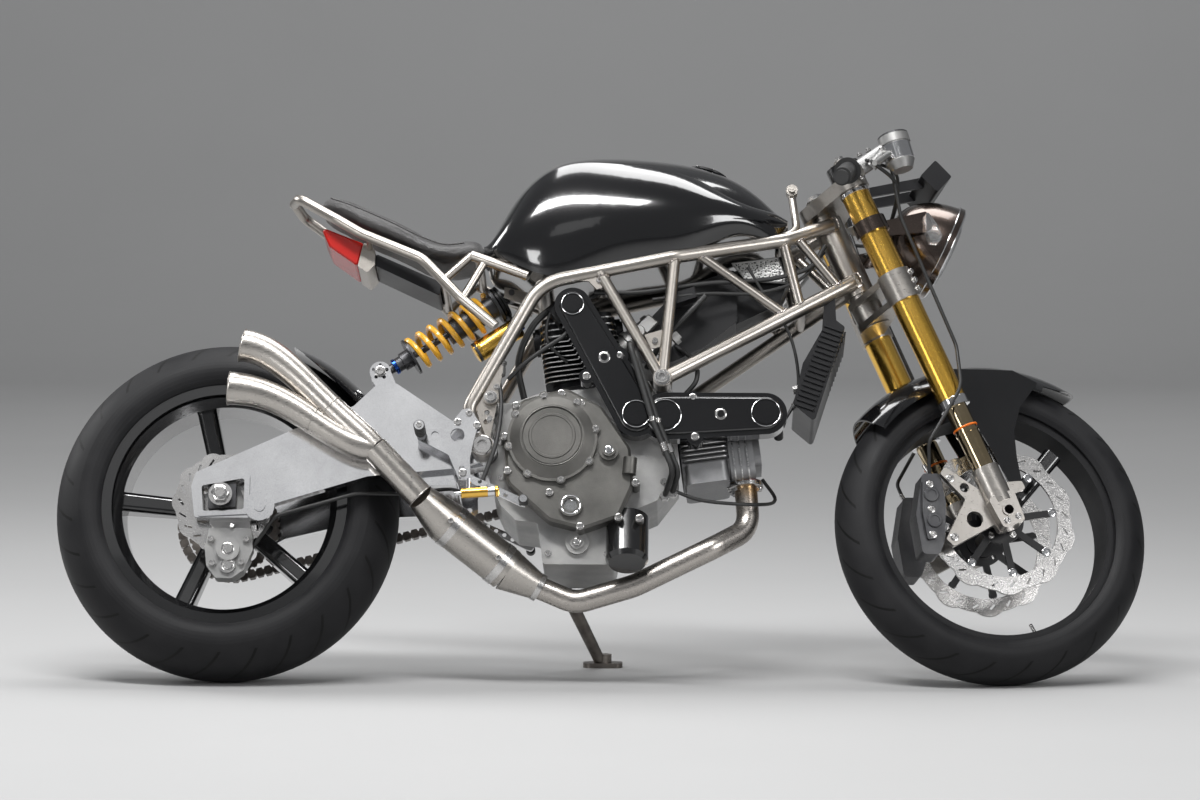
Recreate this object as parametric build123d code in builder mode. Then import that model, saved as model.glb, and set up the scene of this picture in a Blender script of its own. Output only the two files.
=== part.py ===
"""Custom motorcycle: a twin-cylinder roadster with a tubular trellis frame, parked on its side stand.

Every piece is modelled on the upright machine, in millimetres: +X forward, +Y to the rider's left,
+Z up, with X = 0 at the rear axle and Z = 0 where upright tyres would touch the ground.
Steered pieces are modelled on the fork, with the origin at the front axle and +Z up the legs.
At the end each piece is moved to its place on the leaning, parked machine.
"""
import os
from math import asin, atan2, cos, degrees, radians, sin, sqrt, tan

from build123d import *

os.makedirs("parts", exist_ok=True)

# Geometry of the machine
WHEELBASE = 1440
RAKE = 24
TRAIL = 95
LEAN = 18.8
STEERING_LOCK = 13.5
SEAT_GAP = 0.3

# Wheels and tyres: outer radius, width, crown radius and rim radius
REAR_TYRE_RADIUS = 324
REAR_TYRE_WIDTH = 188
REAR_CROWN = 105
FRONT_TYRE_RADIUS = 300
FRONT_TYRE_WIDTH = 118
FRONT_CROWN = 62
RIM_RADIUS = 231
BEAD_RADIUS = 217
WELL_RADIUS = 196
REAR_RIM_WIDTH = 156
FRONT_RIM_WIDTH = 96
RIM_WALL = 5
SPOKES = 5
REAR_SPOKE_ANGLE = 103
FRONT_SPOKE_ANGLE = 100

# Axles
REAR_AXLE_RADIUS = 12.5
REAR_AXLE_HALF = 150
FRONT_AXLE_RADIUS = 12.5
FRONT_AXLE_HALF = 128
AXLE_BORE_RADIUS = 9
BEARING_GAP = 0.05

# Frame
FRAME_TUBE = 27
LOWER_TUBE = 28
BRACE_TUBE = 21
FRAME_HALF = 138
PIVOT_BOSS_HALF = 14
LOWER_BOSS_REACH = 26
HEAD_TUBE_RADIUS = 29
HEAD_TUBE_BORE = 25
STEM_RADIUS = 17
BEARING_DEPTH = 14

# Fork
FORK_HALF = 105
FORK_OUTER_RADIUS = 27
FORK_INNER_RADIUS = 21.5
FORK_OFFSET = 35
FORK_OUTER_BOTTOM = 224
FORK_OUTER_TOP = 686
LOWER_CLAMP_BOTTOM = 450
LOWER_CLAMP_TOP = 510
UPPER_CLAMP_BOTTOM = 690
UPPER_CLAMP_TOP = 716
CLAMP_WALL = 5
LUG_TOP = 95
FENDER_HALF = 76.5

# Brakes
FRONT_DISC_RADIUS = 147
FRONT_DISC_INNER = 112
FRONT_DISC_HALF = 66
FRONT_DISC_THICK = 5
REAR_DISC_RADIUS = 98
REAR_DISC_INNER = 66
REAR_DISC_Y = 84
REAR_DISC_THICK = 5

# Chain and sprockets
CHAIN_PITCH = 15.875
REAR_TEETH = 39
FRONT_TEETH = 15
CHAIN_Y = 112
CHAIN_WIDTH = 18
LINK_HALF_HEIGHT = 8.4
SPROCKET_THICK = 6

# Engine
CRANK_X = 695
CRANK_Z = 415
CYLINDER_TILT = 8
CRANKCASE_HALF = 98
FIN_PITCH = 9.5
FIN_THICK = 3
CLUTCH_X = 616
CLUTCH_Z = 437
CLUTCH_RADIUS = 84

# Swingarm and rear engine mount
REAR_MOUNT_X = 500
REAR_MOUNT_Z = 514
PIVOT_X = 486
PIVOT_Z = 420
ARM_INNER = 100
ARM_OUTER = 124

# Shock absorber
SHOCK_LOWER_X = 283
SHOCK_LOWER_Z = 597
SHOCK_UPPER_X = 530
SHOCK_UPPER_Z = 757
SPRING_RADIUS = 31
SPRING_WIRE = 5.5
SHOCK_BOLT = 6

# Side stand
STAND_HINGE = (622, 122, 236)
STAND_FOOT_X = 706
STAND_FOOT_Y = 283

AXLE_UP = Location((0, 0, 0), (-90, 0, 0))


def steering_point(height):
    """A point on the steering axis of the upright machine at the given height."""
    return (WHEELBASE + TRAIL - height * tan(radians(RAKE)), 0, height)


def lowest(place, tyre_radius, crown_radius):
    """Height of the lowest point of a tyre whose wheel stands at the given place."""
    axle_slope = (place * Location((0, 1, 0))).position.Z - place.position.Z
    ring = tyre_radius - crown_radius
    return place.position.Z - ring * sqrt(1 - axle_slope**2) - crown_radius


# Where the pieces go
REAR_WHEEL = Location((0, 0, REAR_TYRE_RADIUS))
FORK = Location((WHEELBASE, 0, FRONT_TYRE_RADIUS), (0, -RAKE, 0))
STEERED = (
    Location(steering_point(0), (0, -RAKE, 0))
    * Location((0, 0, 0), (0, 0, STEERING_LOCK))
    * Location(steering_point(0), (0, -RAKE, 0)).inverse()
)
LEANED = Location((0, 0, 0), (-LEAN, 0, 0))
REAR_LOW = lowest(LEANED * REAR_WHEEL, REAR_TYRE_RADIUS, REAR_CROWN)
FRONT_LOW = lowest(LEANED * STEERED * FORK, FRONT_TYRE_RADIUS, FRONT_CROWN)
NOSE = degrees(asin((FRONT_LOW - REAR_LOW) / (WHEELBASE * cos(radians(LEAN)))))
ORIGIN_X = 706
ORIGIN_Y = 249
LEVEL = LEANED * Location((0, 0, 0), (0, NOSE, 0))
DROP = lowest(LEVEL * REAR_WHEEL, REAR_TYRE_RADIUS, REAR_CROWN)
PARKED = Location((-ORIGIN_X, -ORIGIN_Y, -DROP)) * LEVEL
STEERED_PLACE = PARKED * STEERED * FORK


def tube(points, diameter, bends=None):
    """A round bar along straight runs, with rounded corners of the given radii."""
    with BuildPart() as bar:
        with BuildLine() as route:
            if bends:
                FilletPolyline(*points, radius=bends)
            else:
                Polyline(*points)
        with BuildSketch(Plane(origin=route.line @ 0, z_dir=route.line % 0)):
            Circle(diameter / 2)
        sweep(path=route.line)
    return bar.part


def rod(start, end, radius, bore=0):
    """A straight round bar or sleeve between two points."""
    axis = Vector(*end) - Vector(*start)
    with BuildPart() as bar:
        with BuildSketch(Plane(origin=start, z_dir=axis)):
            Circle(radius)
            if bore:
                Circle(bore, mode=Mode.SUBTRACT)
        extrude(amount=axis.length)
    return bar.part


def cone_rod(start, end, start_radius, end_radius):
    """A straight tapering bar between two points."""
    axis = Vector(*end) - Vector(*start)
    with BuildPart() as bar:
        with BuildSketch(Plane(origin=start, z_dir=axis)):
            Circle(start_radius)
        with BuildSketch(Plane(origin=end, z_dir=axis)):
            Circle(end_radius)
        loft()
    return bar.part


def side_plate(outline, y_from, y_to, corner=0, holes=()):
    """A plate with its outline in the side view, holes as (x, z, radius) rows."""
    with BuildPart() as plate:
        with BuildSketch(Plane.XZ.offset(-y_to)) as face:
            with BuildLine():
                Polyline(*outline, close=True)
            make_face()
            if corner:
                fillet(face.vertices(), corner)
            for x, z, radius in holes:
                with Locations((x, z)):
                    Circle(radius, mode=Mode.SUBTRACT)
        extrude(amount=y_to - y_from)
    return plate.part


def across(x, z, y_from, y_to, radius, bore=0):
    """A round bar or sleeve along Y."""
    return rod((x, y_to, z), (x, y_from, z), radius, bore)


def wheel_tyre(tyre_radius, width, crown, rim_width):
    """A tyre with a round crown and soft shoulders, its axle along Z."""
    half = width / 2
    shoulder = half - 4
    shoulder_radius = tyre_radius - crown + sqrt(crown**2 - shoulder**2)
    lip = RIM_RADIUS + SEAT_GAP
    bead = rim_width / 2 - RIM_WALL - SEAT_GAP
    with BuildPart() as tyre:
        with BuildSketch(Plane.XZ):
            with BuildLine():
                ThreePointArc(
                    (shoulder_radius, -shoulder), (tyre_radius, 0), (shoulder_radius, shoulder)
                )
                ThreePointArc(
                    (shoulder_radius, shoulder),
                    ((shoulder_radius + RIM_RADIUS) / 2 + 3, half),
                    (lip, rim_width / 2 + 3),
                )
                Polyline(
                    (lip, rim_width / 2 + 3),
                    (lip, bead),
                    (BEAD_RADIUS + SEAT_GAP, bead),
                    (BEAD_RADIUS + SEAT_GAP, -bead),
                    (lip, -bead),
                    (lip, -rim_width / 2 - 3),
                )
                ThreePointArc(
                    (lip, -rim_width / 2 - 3),
                    ((shoulder_radius + RIM_RADIUS) / 2 + 3, -half),
                    (shoulder_radius, -shoulder),
                )
            make_face()
        revolve(axis=Axis.Z)
    return tyre.part


def wheel_rim(rim_width, hub_radius, hub_half, bore, first_angle):
    """A five-spoke rim with its axle along Z."""
    half = rim_width / 2
    with BuildPart() as rim:
        with BuildSketch(Plane.XZ):
            with BuildLine():
                Polyline(
                    (RIM_RADIUS, half),
                    (RIM_RADIUS, half - RIM_WALL),
                    (BEAD_RADIUS, half - RIM_WALL),
                    (BEAD_RADIUS, half - 24),
                    (WELL_RADIUS + RIM_WALL, half - 38),
                    (WELL_RADIUS + RIM_WALL, -half + 38),
                    (BEAD_RADIUS, -half + 24),
                    (BEAD_RADIUS, -half + RIM_WALL),
                    (RIM_RADIUS, -half + RIM_WALL),
                    (RIM_RADIUS, -half),
                    (BEAD_RADIUS - RIM_WALL, -half),
                    (BEAD_RADIUS - RIM_WALL, -half + 22),
                    (WELL_RADIUS, -half + 36),
                    (WELL_RADIUS, half - 36),
                    (BEAD_RADIUS - RIM_WALL, half - 22),
                    (BEAD_RADIUS - RIM_WALL, half),
                    close=True,
                )
            make_face()
        revolve(axis=Axis.Z)
        with BuildSketch(Plane.XY.offset(-hub_half)):
            Circle(hub_radius)
        extrude(amount=2 * hub_half)
        for spoke in range(SPOKES):
            angle = -first_angle - spoke * 360 / SPOKES
            along = Vector(cos(radians(angle)), sin(radians(angle)), 0)
            add(tapered_spoke(along, hub_radius - 6, WELL_RADIUS + 2))
        with BuildSketch(Plane.XY.offset(-hub_half)):
            Circle(bore)
        extrude(amount=2 * hub_half, mode=Mode.SUBTRACT)
    return rim.part


def tapered_spoke(along, inner, outer):
    """A hollow-looking spoke with an oval root that thins towards the rim."""
    with BuildPart() as spoke:
        with BuildSketch(Plane(origin=along * inner, x_dir=(0, 0, 1), z_dir=along)):
            RectangleRounded(50, 44, 12)
        with BuildSketch(Plane(origin=along * (inner + 60), x_dir=(0, 0, 1), z_dir=along)):
            RectangleRounded(40, 35, 10)
        with BuildSketch(Plane(origin=along * outer, x_dir=(0, 0, 1), z_dir=along)):
            RectangleRounded(56, 37, 10)
        loft(ruled=True)
    return spoke.part


def mudguard(crown, edge, half, wall, outline):
    """A mudguard of curved section round an axle along Y at the origin, trimmed to a side view."""
    with BuildPart() as guard:
        with BuildSketch(Plane.XY):
            with BuildLine():
                ThreePointArc((edge, -half), (crown, 0), (edge, half))
                Line((edge, half), (edge - wall, half - wall * 0.4))
                ThreePointArc(
                    (edge - wall, half - wall * 0.4),
                    (crown - wall, 0),
                    (edge - wall, wall * 0.4 - half),
                )
                Line((edge - wall, wall * 0.4 - half), (edge, -half))
            make_face()
        revolve(axis=Axis.Y)
        with BuildSketch(Plane.XZ.offset(-half - 1)):
            with BuildLine():
                Polyline(*outline, close=True)
            make_face()
        extrude(amount=2 * half + 2, mode=Mode.INTERSECT)
    return guard.part


def wave_disc(outer, inner, thick, waves, depth, slots):
    """A brake disc with a wavy edge and pairs of slanted slots, its axle along Z."""
    swell = outer * sin(radians(180 / waves)) * 0.82
    with BuildPart() as disc:
        with BuildSketch(Plane.XY.offset(-thick / 2)):
            Circle(outer - depth)
            with PolarLocations(outer - swell - 0.4, waves):
                Circle(swell)
            Circle(inner, mode=Mode.SUBTRACT)
            with PolarLocations((outer + inner) / 2 - 2, slots):
                Rectangle(15, 4, rotation=50, mode=Mode.SUBTRACT)
        extrude(amount=thick)
    return disc.part


# Trellis frame: the right-hand rails, mirrored to the left
HEAD_TOP = 680
HEAD_BOTTOM = 518
PIVOT = (PIVOT_X, -FRAME_HALF, PIVOT_Z)
KNEE = (457, -FRAME_HALF, 492)
SHOULDER = (590, -FRAME_HALF, 741)
TOP_REAR = (701, -FRAME_HALF, 762)
TOP_BEND = (842, -130, 797)
TOP_FRONT = (1049, -75, 847)
TOP_HEAD = (1139, -26, 893)
LOW_NODE = (820, -FRAME_HALF, 553)
RAIL = [PIVOT, KNEE, SHOULDER, TOP_BEND, TOP_FRONT, TOP_HEAD]
RAIL_BENDS = [40, 95, 90, 60]
LOW_HEAD = (1182, -26, 779)


def between(start, end, share):
    """The point at a share of the way from start to end."""
    return tuple(a + (b - a) * share for a, b in zip(start, end))


def head_point(along, forward=0, left=0):
    """A point on the steering axis at a height along the fork legs."""
    place = FORK * Location((forward - FORK_OFFSET, left, along))
    return tuple(place.position)


BRACES = [
    # start, end, diameter
    (TOP_REAR, LOW_NODE, 22),
    (TOP_BEND, LOW_NODE, 22),
    (between(TOP_BEND, TOP_FRONT, 0.2), between(LOW_NODE, LOW_HEAD, 0.65), 19),
    (between(TOP_BEND, TOP_FRONT, 0.99), between(LOW_NODE, LOW_HEAD, 0.72), BRACE_TUBE),
    (between(TOP_FRONT, TOP_HEAD, 0.25), between(LOW_NODE, LOW_HEAD, 0.93), 19),
]

with BuildPart() as frame:
    for mirror_side in (1, -1):
        rail = [(x, mirror_side * y, z) for x, y, z in RAIL]
        add(tube(rail, FRAME_TUBE, RAIL_BENDS))
        lower = [(x, mirror_side * y, z) for x, y, z in (LOW_NODE, LOW_HEAD)]
        add(tube(lower, LOWER_TUBE))
        for start, end, diameter in BRACES:
            run = [(x, mirror_side * y, z) for x, y, z in (start, end)]
            add(tube(run, diameter))
    add(rod(head_point(HEAD_BOTTOM), head_point(HEAD_TOP), HEAD_TUBE_RADIUS))
    for side in (-1, 1):
        reach = sorted((side * (FRAME_HALF - LOWER_BOSS_REACH), side * (FRAME_HALF + 15)))
        add(across(LOW_NODE[0], LOW_NODE[2], *reach, 17))
        add(
            across(
                PIVOT_X,
                PIVOT_Z,
                side * FRAME_HALF - PIVOT_BOSS_HALF,
                side * FRAME_HALF + PIVOT_BOSS_HALF,
                21,
            )
        )
        add(across(REAR_MOUNT_X, REAR_MOUNT_Z, side * FRAME_HALF - 12, side * FRAME_HALF + 12, 14))
        flank = side * FRAME_HALF
        gusset = [(486, 440), (472, 500), (516, 580), (522, 575), (511, 500), (500, 440)]
        add(side_plate(gusset, flank - 4, flank + 4, 0, [(492, 468, 5), (493, 486, 5)]))
        add(side_plate([(786, 640), (826, 652), (827, 620), (799, 612)], flank - 2, flank + 2))
        add(
            side_plate(
                [(632, 746), (700, 758), (716, 735), (696, 728), (680, 744)], flank - 3, flank + 3
            )
        )
    add(tube([(SHOULDER[0] + 2, -FRAME_HALF, 735), (SHOULDER[0] + 2, FRAME_HALF, 735)], 25))
    add(
        tube(
            [(TOP_FRONT[0], TOP_FRONT[1], TOP_FRONT[2]), (TOP_FRONT[0], -TOP_FRONT[1], TOP_FRONT[2])],
            BRACE_TUBE,
        )
    )
    add(tube([between(LOW_NODE, LOW_HEAD, 0.72), (1081, 63, 713)], BRACE_TUBE))
    add(tube([(1040, -77, 850), (1074, -66, 868), (1064, -50, 944)], 15, [24]))
    add(rod((1064, -64, 952), (1064, -36, 952), 11))
    add(rod((1064, -70, 952), (1064, -64, 952), 6))
    for y in (-17, 17):
        add(
            side_plate(
                [(592, 749), (592, 722), (516, 746), (516, 768)],
                y - 5,
                y + 5,
                0,
                [(SHOCK_UPPER_X, SHOCK_UPPER_Z, SHOCK_BOLT)],
            )
        )
    add(rod(head_point(HEAD_BOTTOM - 1), head_point(HEAD_TOP + 1), HEAD_TUBE_BORE), mode=Mode.SUBTRACT)
    for side in (-1, 1):
        add(
            across(LOW_NODE[0], LOW_NODE[2], side * FRAME_HALF - 30, side * FRAME_HALF + 30, 9),
            mode=Mode.SUBTRACT,
        )
        add(
            across(PIVOT_X, PIVOT_Z, side * FRAME_HALF - 16, side * FRAME_HALF + 16, 11),
            mode=Mode.SUBTRACT,
        )
        add(
            across(REAR_MOUNT_X, REAR_MOUNT_Z, side * FRAME_HALF - 13, side * FRAME_HALF + 13, 8),
            mode=Mode.SUBTRACT,
        )

# Subframe: a loop under the seat, on struts to the frame
LOOP_TUBE = 20
LOOP_POINTS = [
    (505, -118, 661), (438, -112, 718), (362, -97, 801), (244, -90, 852), (197, -86, 881),
    (122, -62, 930),
]

with BuildPart() as subframe:
    for side in (1, -1):
        loop = [(x, side * y, z) for x, y, z in LOOP_POINTS]
        add(tube(loop + [(108, 0, 939)], LOOP_TUBE, [60, 60, 90, 60, 30]))
        add(tube([(x, side * y, z) for x, y, z in ((456, -100, 806), (566, -122, 760))], LOOP_TUBE))
        add(tube([(x, side * y, z) for x, y, z in ((484, -104, 796), (441, -111, 716))], 16))
        add(tube([(x, side * y, z) for x, y, z in ((456, -100, 806), (404, -104, 756))], 16))
    add(tube([(404, -106, 757), (404, 106, 757)], 16))
    add(tube([(470, -104, 800), (470, 104, 800)], 16))
    add(
        side_plate([(247, 843), (262, 838), (270, 826), (270, 800), (256, 784), (237, 797)], -60, 60, 3)
    )
    for side in (-1, 1):
        add(rod((258, side * 52, 830), (262, side * 88, 843), 6))

# Fuel tank
TANK_SECTIONS = [
    # x, base height, base half-width, widest half-width, shoulder half-width, shoulder height, top height
    (478, 820, 58, 64, 48, 834, 841),
    (500, 801, 98, 106, 84, 850, 872),
    (545, 780, 126, 139, 104, 915, 950),
    (610, 756, 138, 158, 116, 972, 1003),
    (700, 772, 142, 167, 122, 985, 1022),
    (800, 796, 140, 163, 116, 978, 1020),
    (900, 822, 124, 146, 104, 950, 1005),
    (990, 846, 96, 114, 78, 910, 962),
    (1056, 866, 58, 66, 42, 889, 900),
]

with BuildPart() as tank:
    for x, base_z, base, wide, shoulder, shoulder_z, top_z in TANK_SECTIONS:
        with BuildSketch(Plane.YZ.offset(x)):
            with BuildLine():
                Line((-base, base_z), (base, base_z))
                ThreePointArc(
                    (base, base_z), (wide, (base_z * 0.55 + shoulder_z * 0.45)), (shoulder, shoulder_z)
                )
                ThreePointArc((shoulder, shoulder_z), (0, top_z), (-shoulder, shoulder_z))
                ThreePointArc(
                    (-shoulder, shoulder_z),
                    (-wide, (base_z * 0.55 + shoulder_z * 0.45)),
                    (-base, base_z),
                )
            make_face()
    loft()
    for side in (1, -1):
        rail = [(x, side * y, z) for x, y, z in RAIL]
        add(tube(rail, FRAME_TUBE + 2 * SEAT_GAP, RAIL_BENDS), mode=Mode.SUBTRACT)
    add(frame.part, mode=Mode.SUBTRACT)
    add(subframe.part, mode=Mode.SUBTRACT)

# Seat pad
SEAT_SECTIONS = [
    # x, base height, shoulder height, top height, half-width
    (160, 921, 926, 938, 44),
    (182, 908, 930, 947, 62),
    (227, 884, 911, 929, 72),
    (296, 852, 879, 897, 78),
    (347, 829, 853, 870, 80),
    (400, 809, 832, 850, 84),
    (440, 808.3, 836, 857, 78),
    (477.7, 808.3, 828, 844, 60),
]

with BuildPart() as seat:
    for x, base_z, edge_z, top_z, half in SEAT_SECTIONS:
        with BuildSketch(Plane.YZ.offset(x)):
            with BuildLine():
                Line((4 - half, base_z), (half - 4, base_z))
                ThreePointArc((half - 4, base_z), (half, (base_z + edge_z) / 2), (half - 6, edge_z))
                ThreePointArc((half - 6, edge_z), (0, top_z), (6 - half, edge_z))
                ThreePointArc((6 - half, edge_z), (-half, (base_z + edge_z) / 2), (4 - half, base_z))
            make_face()
    loft()
    add(subframe.part, mode=Mode.SUBTRACT)

# Tail lamp and under-seat tray
with BuildPart() as tail_lens:
    with BuildSketch(Plane.XZ.offset(-58)) as lens_face:
        with BuildLine():
            Polyline((164, 876), (246.7, 843), (236.7, 797), (182, 836), close=True)
        make_face()
        fillet(lens_face.vertices(), 5)
    extrude(amount=116)
    chamfer(tail_lens.faces().sort_by(Axis.Y)[0].edges(), 3)
    chamfer(tail_lens.faces().sort_by(Axis.Y)[-1].edges(), 3)
with BuildPart() as tail_unit:
    add(side_plate([(270.3, 824), (395.7, 768), (395.7, 740), (270.3, 800)], -52, 52, 4))
    add(subframe.part, mode=Mode.SUBTRACT)

# Swingarm
ARM_OUTLINE = [
    (-58, 345), (-50, 372), (133, 457), (242, 502), (280, 540), (296, 548), (322, 546),
    (431, 472), (500, 440), (502, 402), (430, 382), (271, 366), (97, 312), (60, 285), (-50, 285),
]
LEFT_ARM_OUTLINE = [
    (-58, 345), (-50, 372), (133, 457), (242, 502), (280, 540), (296, 548), (322, 546),
    (426, 440), (426, 356), (271, 348), (97, 306), (60, 285), (-50, 285),
]
LEFT_ARM_INNER = 126
LEFT_ARM_OUTER = 146
WINDOW = [(-34, 296), (-38, 345), (42, 360), (42, 300)]
WINDOW_FRAME = [(-44, 286), (-48, 353), (52, 371), (52, 291)]
BOBBIN_X = 74
BOBBIN_Z = 300
AXLE_BLOCK = [(-26, 302), (-26, 344), (26, 352), (26, 306)]
PIVOT_HALF = FRAME_HALF - PIVOT_BOSS_HALF - SEAT_GAP

with BuildPart() as swingarm:
    add(side_plate(ARM_OUTLINE, -ARM_OUTER, -ARM_INNER, 6))
    add(side_plate(WINDOW, -ARM_OUTER - 1, -ARM_INNER + 1, 5), mode=Mode.SUBTRACT)
    add(side_plate(LEFT_ARM_OUTLINE, LEFT_ARM_INNER, LEFT_ARM_OUTER, 6))
    add(side_plate(WINDOW, LEFT_ARM_INNER - 1, LEFT_ARM_OUTER + 1, 5), mode=Mode.SUBTRACT)
    add(side_plate([(352, 356), (352, 416), (424, 416), (424, 356)], 94, LEFT_ARM_INNER, 6))
    add(side_plate([(352, 356), (348, 470), (380, 490), (430, 462), (440, 356)], -ARM_INNER, 95, 8))
    add(side_plate([(296, 540), (322, 540), (400, 480), (372, 470)], -ARM_INNER, 95, 4))
    add(side_plate(WINDOW_FRAME, -ARM_OUTER - 5, -ARM_OUTER, 6))
    add(side_plate(WINDOW, -ARM_OUTER - 6, -ARM_OUTER, 5), mode=Mode.SUBTRACT)
    add(cone_rod((BOBBIN_X, -ARM_OUTER, BOBBIN_Z), (BOBBIN_X, -ARM_OUTER - 26, BOBBIN_Z), 20, 28))
    add(across(BOBBIN_X, BOBBIN_Z, -ARM_OUTER - 32, -ARM_OUTER - 26, 28))
    add(across(BOBBIN_X, BOBBIN_Z, -ARM_OUTER - 35, -ARM_OUTER - 32, 11))
    for y in (-22, 22):
        add(
            side_plate(
                [(264, 597), (268, 580), (300, 530), (336, 520), (302, 600), (283, 616)], y - 5, y + 5
            )
        )
        add(across(SHOCK_LOWER_X, SHOCK_LOWER_Z, y - 5, y + 5, 20))
        with BuildSketch(Plane.XZ.offset(-y - 5)):
            with Locations((SHOCK_LOWER_X, SHOCK_LOWER_Z)):
                with PolarLocations(13, 5, 18):
                    Circle(3.5)
        extrude(amount=10, mode=Mode.SUBTRACT)
    for low, high in ((-ARM_INNER, -60), (60, 95)):
        add(side_plate([(420, 380), (420, 460), (490, 446), (490, 394)], low, high))
    add(across(PIVOT_X, PIVOT_Z, -PIVOT_HALF, 95, 26))
    add(across(PIVOT_X, PIVOT_Z, 95, PIVOT_HALF, 14))
    add(across(SHOCK_LOWER_X, SHOCK_LOWER_Z, -30, 30, SHOCK_BOLT), mode=Mode.SUBTRACT)
    add(across(PIVOT_X, PIVOT_Z, -PIVOT_HALF - 1, PIVOT_HALF + 1, 11), mode=Mode.SUBTRACT)

# Axle blocks sit in the swingarm's windows and carry the rear axle, with a spacer each side of the hub
with BuildPart() as rear_axle:
    add(across(0, REAR_TYRE_RADIUS, -REAR_AXLE_HALF, REAR_AXLE_HALF + 6, REAR_AXLE_RADIUS))
    add(side_plate(AXLE_BLOCK, -ARM_OUTER + 1, -ARM_INNER - 1, 3))
    add(side_plate(AXLE_BLOCK, LEFT_ARM_INNER + 1, LEFT_ARM_OUTER - 1, 3))
    add(across(0, REAR_TYRE_RADIUS, -REAR_AXLE_HALF + 6, -ARM_OUTER - SEAT_GAP, 19))
    add(across(0, REAR_TYRE_RADIUS, LEFT_ARM_OUTER + SEAT_GAP, REAR_AXLE_HALF + 2, 19))
    add(across(0, REAR_TYRE_RADIUS, -ARM_INNER - 1, -REAR_DISC_Y - REAR_DISC_THICK, 18))
    add(across(0, REAR_TYRE_RADIUS, CHAIN_Y + SPROCKET_THICK / 2 + 0.5, LEFT_ARM_INNER + 1, 18))
    add(
        across(0, REAR_TYRE_RADIUS, -REAR_AXLE_HALF - 1, REAR_AXLE_HALF + 7, AXLE_BORE_RADIUS),
        mode=Mode.SUBTRACT,
    )

# Wheels
REAR_HUB_HALF = 88
FRONT_HUB_HALF = 58
REAR_HUB_RADIUS = 34
FRONT_HUB_RADIUS = 30

with BuildPart() as rear_tyre:
    add(wheel_tyre(REAR_TYRE_RADIUS, REAR_TYRE_WIDTH, REAR_CROWN, REAR_RIM_WIDTH))
with BuildPart() as front_tyre:
    add(wheel_tyre(FRONT_TYRE_RADIUS, FRONT_TYRE_WIDTH, FRONT_CROWN, FRONT_RIM_WIDTH))
with BuildPart() as rear_rim:
    add(
        wheel_rim(
            REAR_RIM_WIDTH,
            REAR_HUB_RADIUS,
            REAR_HUB_HALF - 8,
            REAR_AXLE_RADIUS + BEARING_GAP,
            REAR_SPOKE_ANGLE,
        )
    )
with BuildPart() as front_rim:
    add(
        wheel_rim(
            FRONT_RIM_WIDTH,
            FRONT_HUB_RADIUS,
            FRONT_HUB_HALF,
            FRONT_AXLE_RADIUS + BEARING_GAP,
            FRONT_SPOKE_ANGLE,
        )
    )

# Rear brake disc and its carrier, on the right of the hub
with BuildPart() as rear_disc:
    with Locations((0, 0, -REAR_DISC_Y)):
        add(wave_disc(REAR_DISC_RADIUS, REAR_DISC_INNER, REAR_DISC_THICK, 10, 6, 20))
    with BuildSketch(Plane.XY.offset(-REAR_DISC_Y - REAR_DISC_THICK / 2)):
        Circle(REAR_DISC_INNER + 1)
        with PolarLocations(48, 5):
            Circle(13, mode=Mode.SUBTRACT)
        Circle(REAR_AXLE_RADIUS + 1, mode=Mode.SUBTRACT)
    extrude(amount=REAR_DISC_THICK + 1.5)

# Front discs with their carriers, one each side of the hub
BOBBINS = 8
with BuildPart() as front_discs:
    for side in (-1, 1):
        with Locations((0, 0, side * FRONT_DISC_HALF)):
            add(wave_disc(FRONT_DISC_RADIUS, FRONT_DISC_INNER, FRONT_DISC_THICK, 10, 8, 24))
with BuildPart() as disc_carriers:
    for side in (-1, 1):
        base = side * FRONT_DISC_HALF
        with BuildSketch(Plane.XY.offset(base - 2.5)):
            Circle(46)
            Circle(FRONT_AXLE_RADIUS + 6, mode=Mode.SUBTRACT)
            for arm in range(BOBBINS):
                with Locations(Location((0, 0, 0), (0, 0, arm * 360 / BOBBINS + 12))):
                    with Locations((72, 0)):
                        Rectangle(72, 13)
                    with Locations((FRONT_DISC_INNER - 7.5, 0)):
                        Circle(7)
            with PolarLocations(36, 5):
                Circle(4, mode=Mode.SUBTRACT)
        extrude(amount=5)
    add(front_discs.part, mode=Mode.SUBTRACT)
    for side in (-1, 1):
        low, high = sorted((side * (FRONT_HUB_HALF + 0.01), side * (FRONT_DISC_HALF - 2)))
        with BuildSketch(Plane.XY.offset(low)):
            Circle(30)
            Circle(FRONT_AXLE_RADIUS + 1, mode=Mode.SUBTRACT)
        extrude(amount=high - low)

# Chain, sprockets
REAR_PITCH_RADIUS = CHAIN_PITCH / (2 * sin(radians(180 / REAR_TEETH)))
FRONT_PITCH_RADIUS = CHAIN_PITCH / (2 * sin(radians(180 / FRONT_TEETH)))
SPROCKET_X = 560
SPROCKET_Z = 408
SPROCKET_TIP = REAR_PITCH_RADIUS - LINK_HALF_HEIGHT - 2

with BuildPart() as rear_sprocket:
    with BuildSketch(Plane.XY.offset(CHAIN_Y - SPROCKET_THICK / 2)):
        Circle(SPROCKET_TIP)
        with PolarLocations(SPROCKET_TIP + 0.5, REAR_TEETH):
            Circle(3.6, mode=Mode.SUBTRACT)
        with PolarLocations(58, 6):
            Circle(17, mode=Mode.SUBTRACT)
        Circle(REAR_AXLE_RADIUS + 1, mode=Mode.SUBTRACT)
    extrude(amount=SPROCKET_THICK)
    with BuildSketch(Plane.XY.offset(REAR_HUB_HALF - 8)):
        Circle(30)
        Circle(REAR_AXLE_RADIUS + 1, mode=Mode.SUBTRACT)
    extrude(amount=CHAIN_Y - REAR_HUB_HALF + 8)

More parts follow.
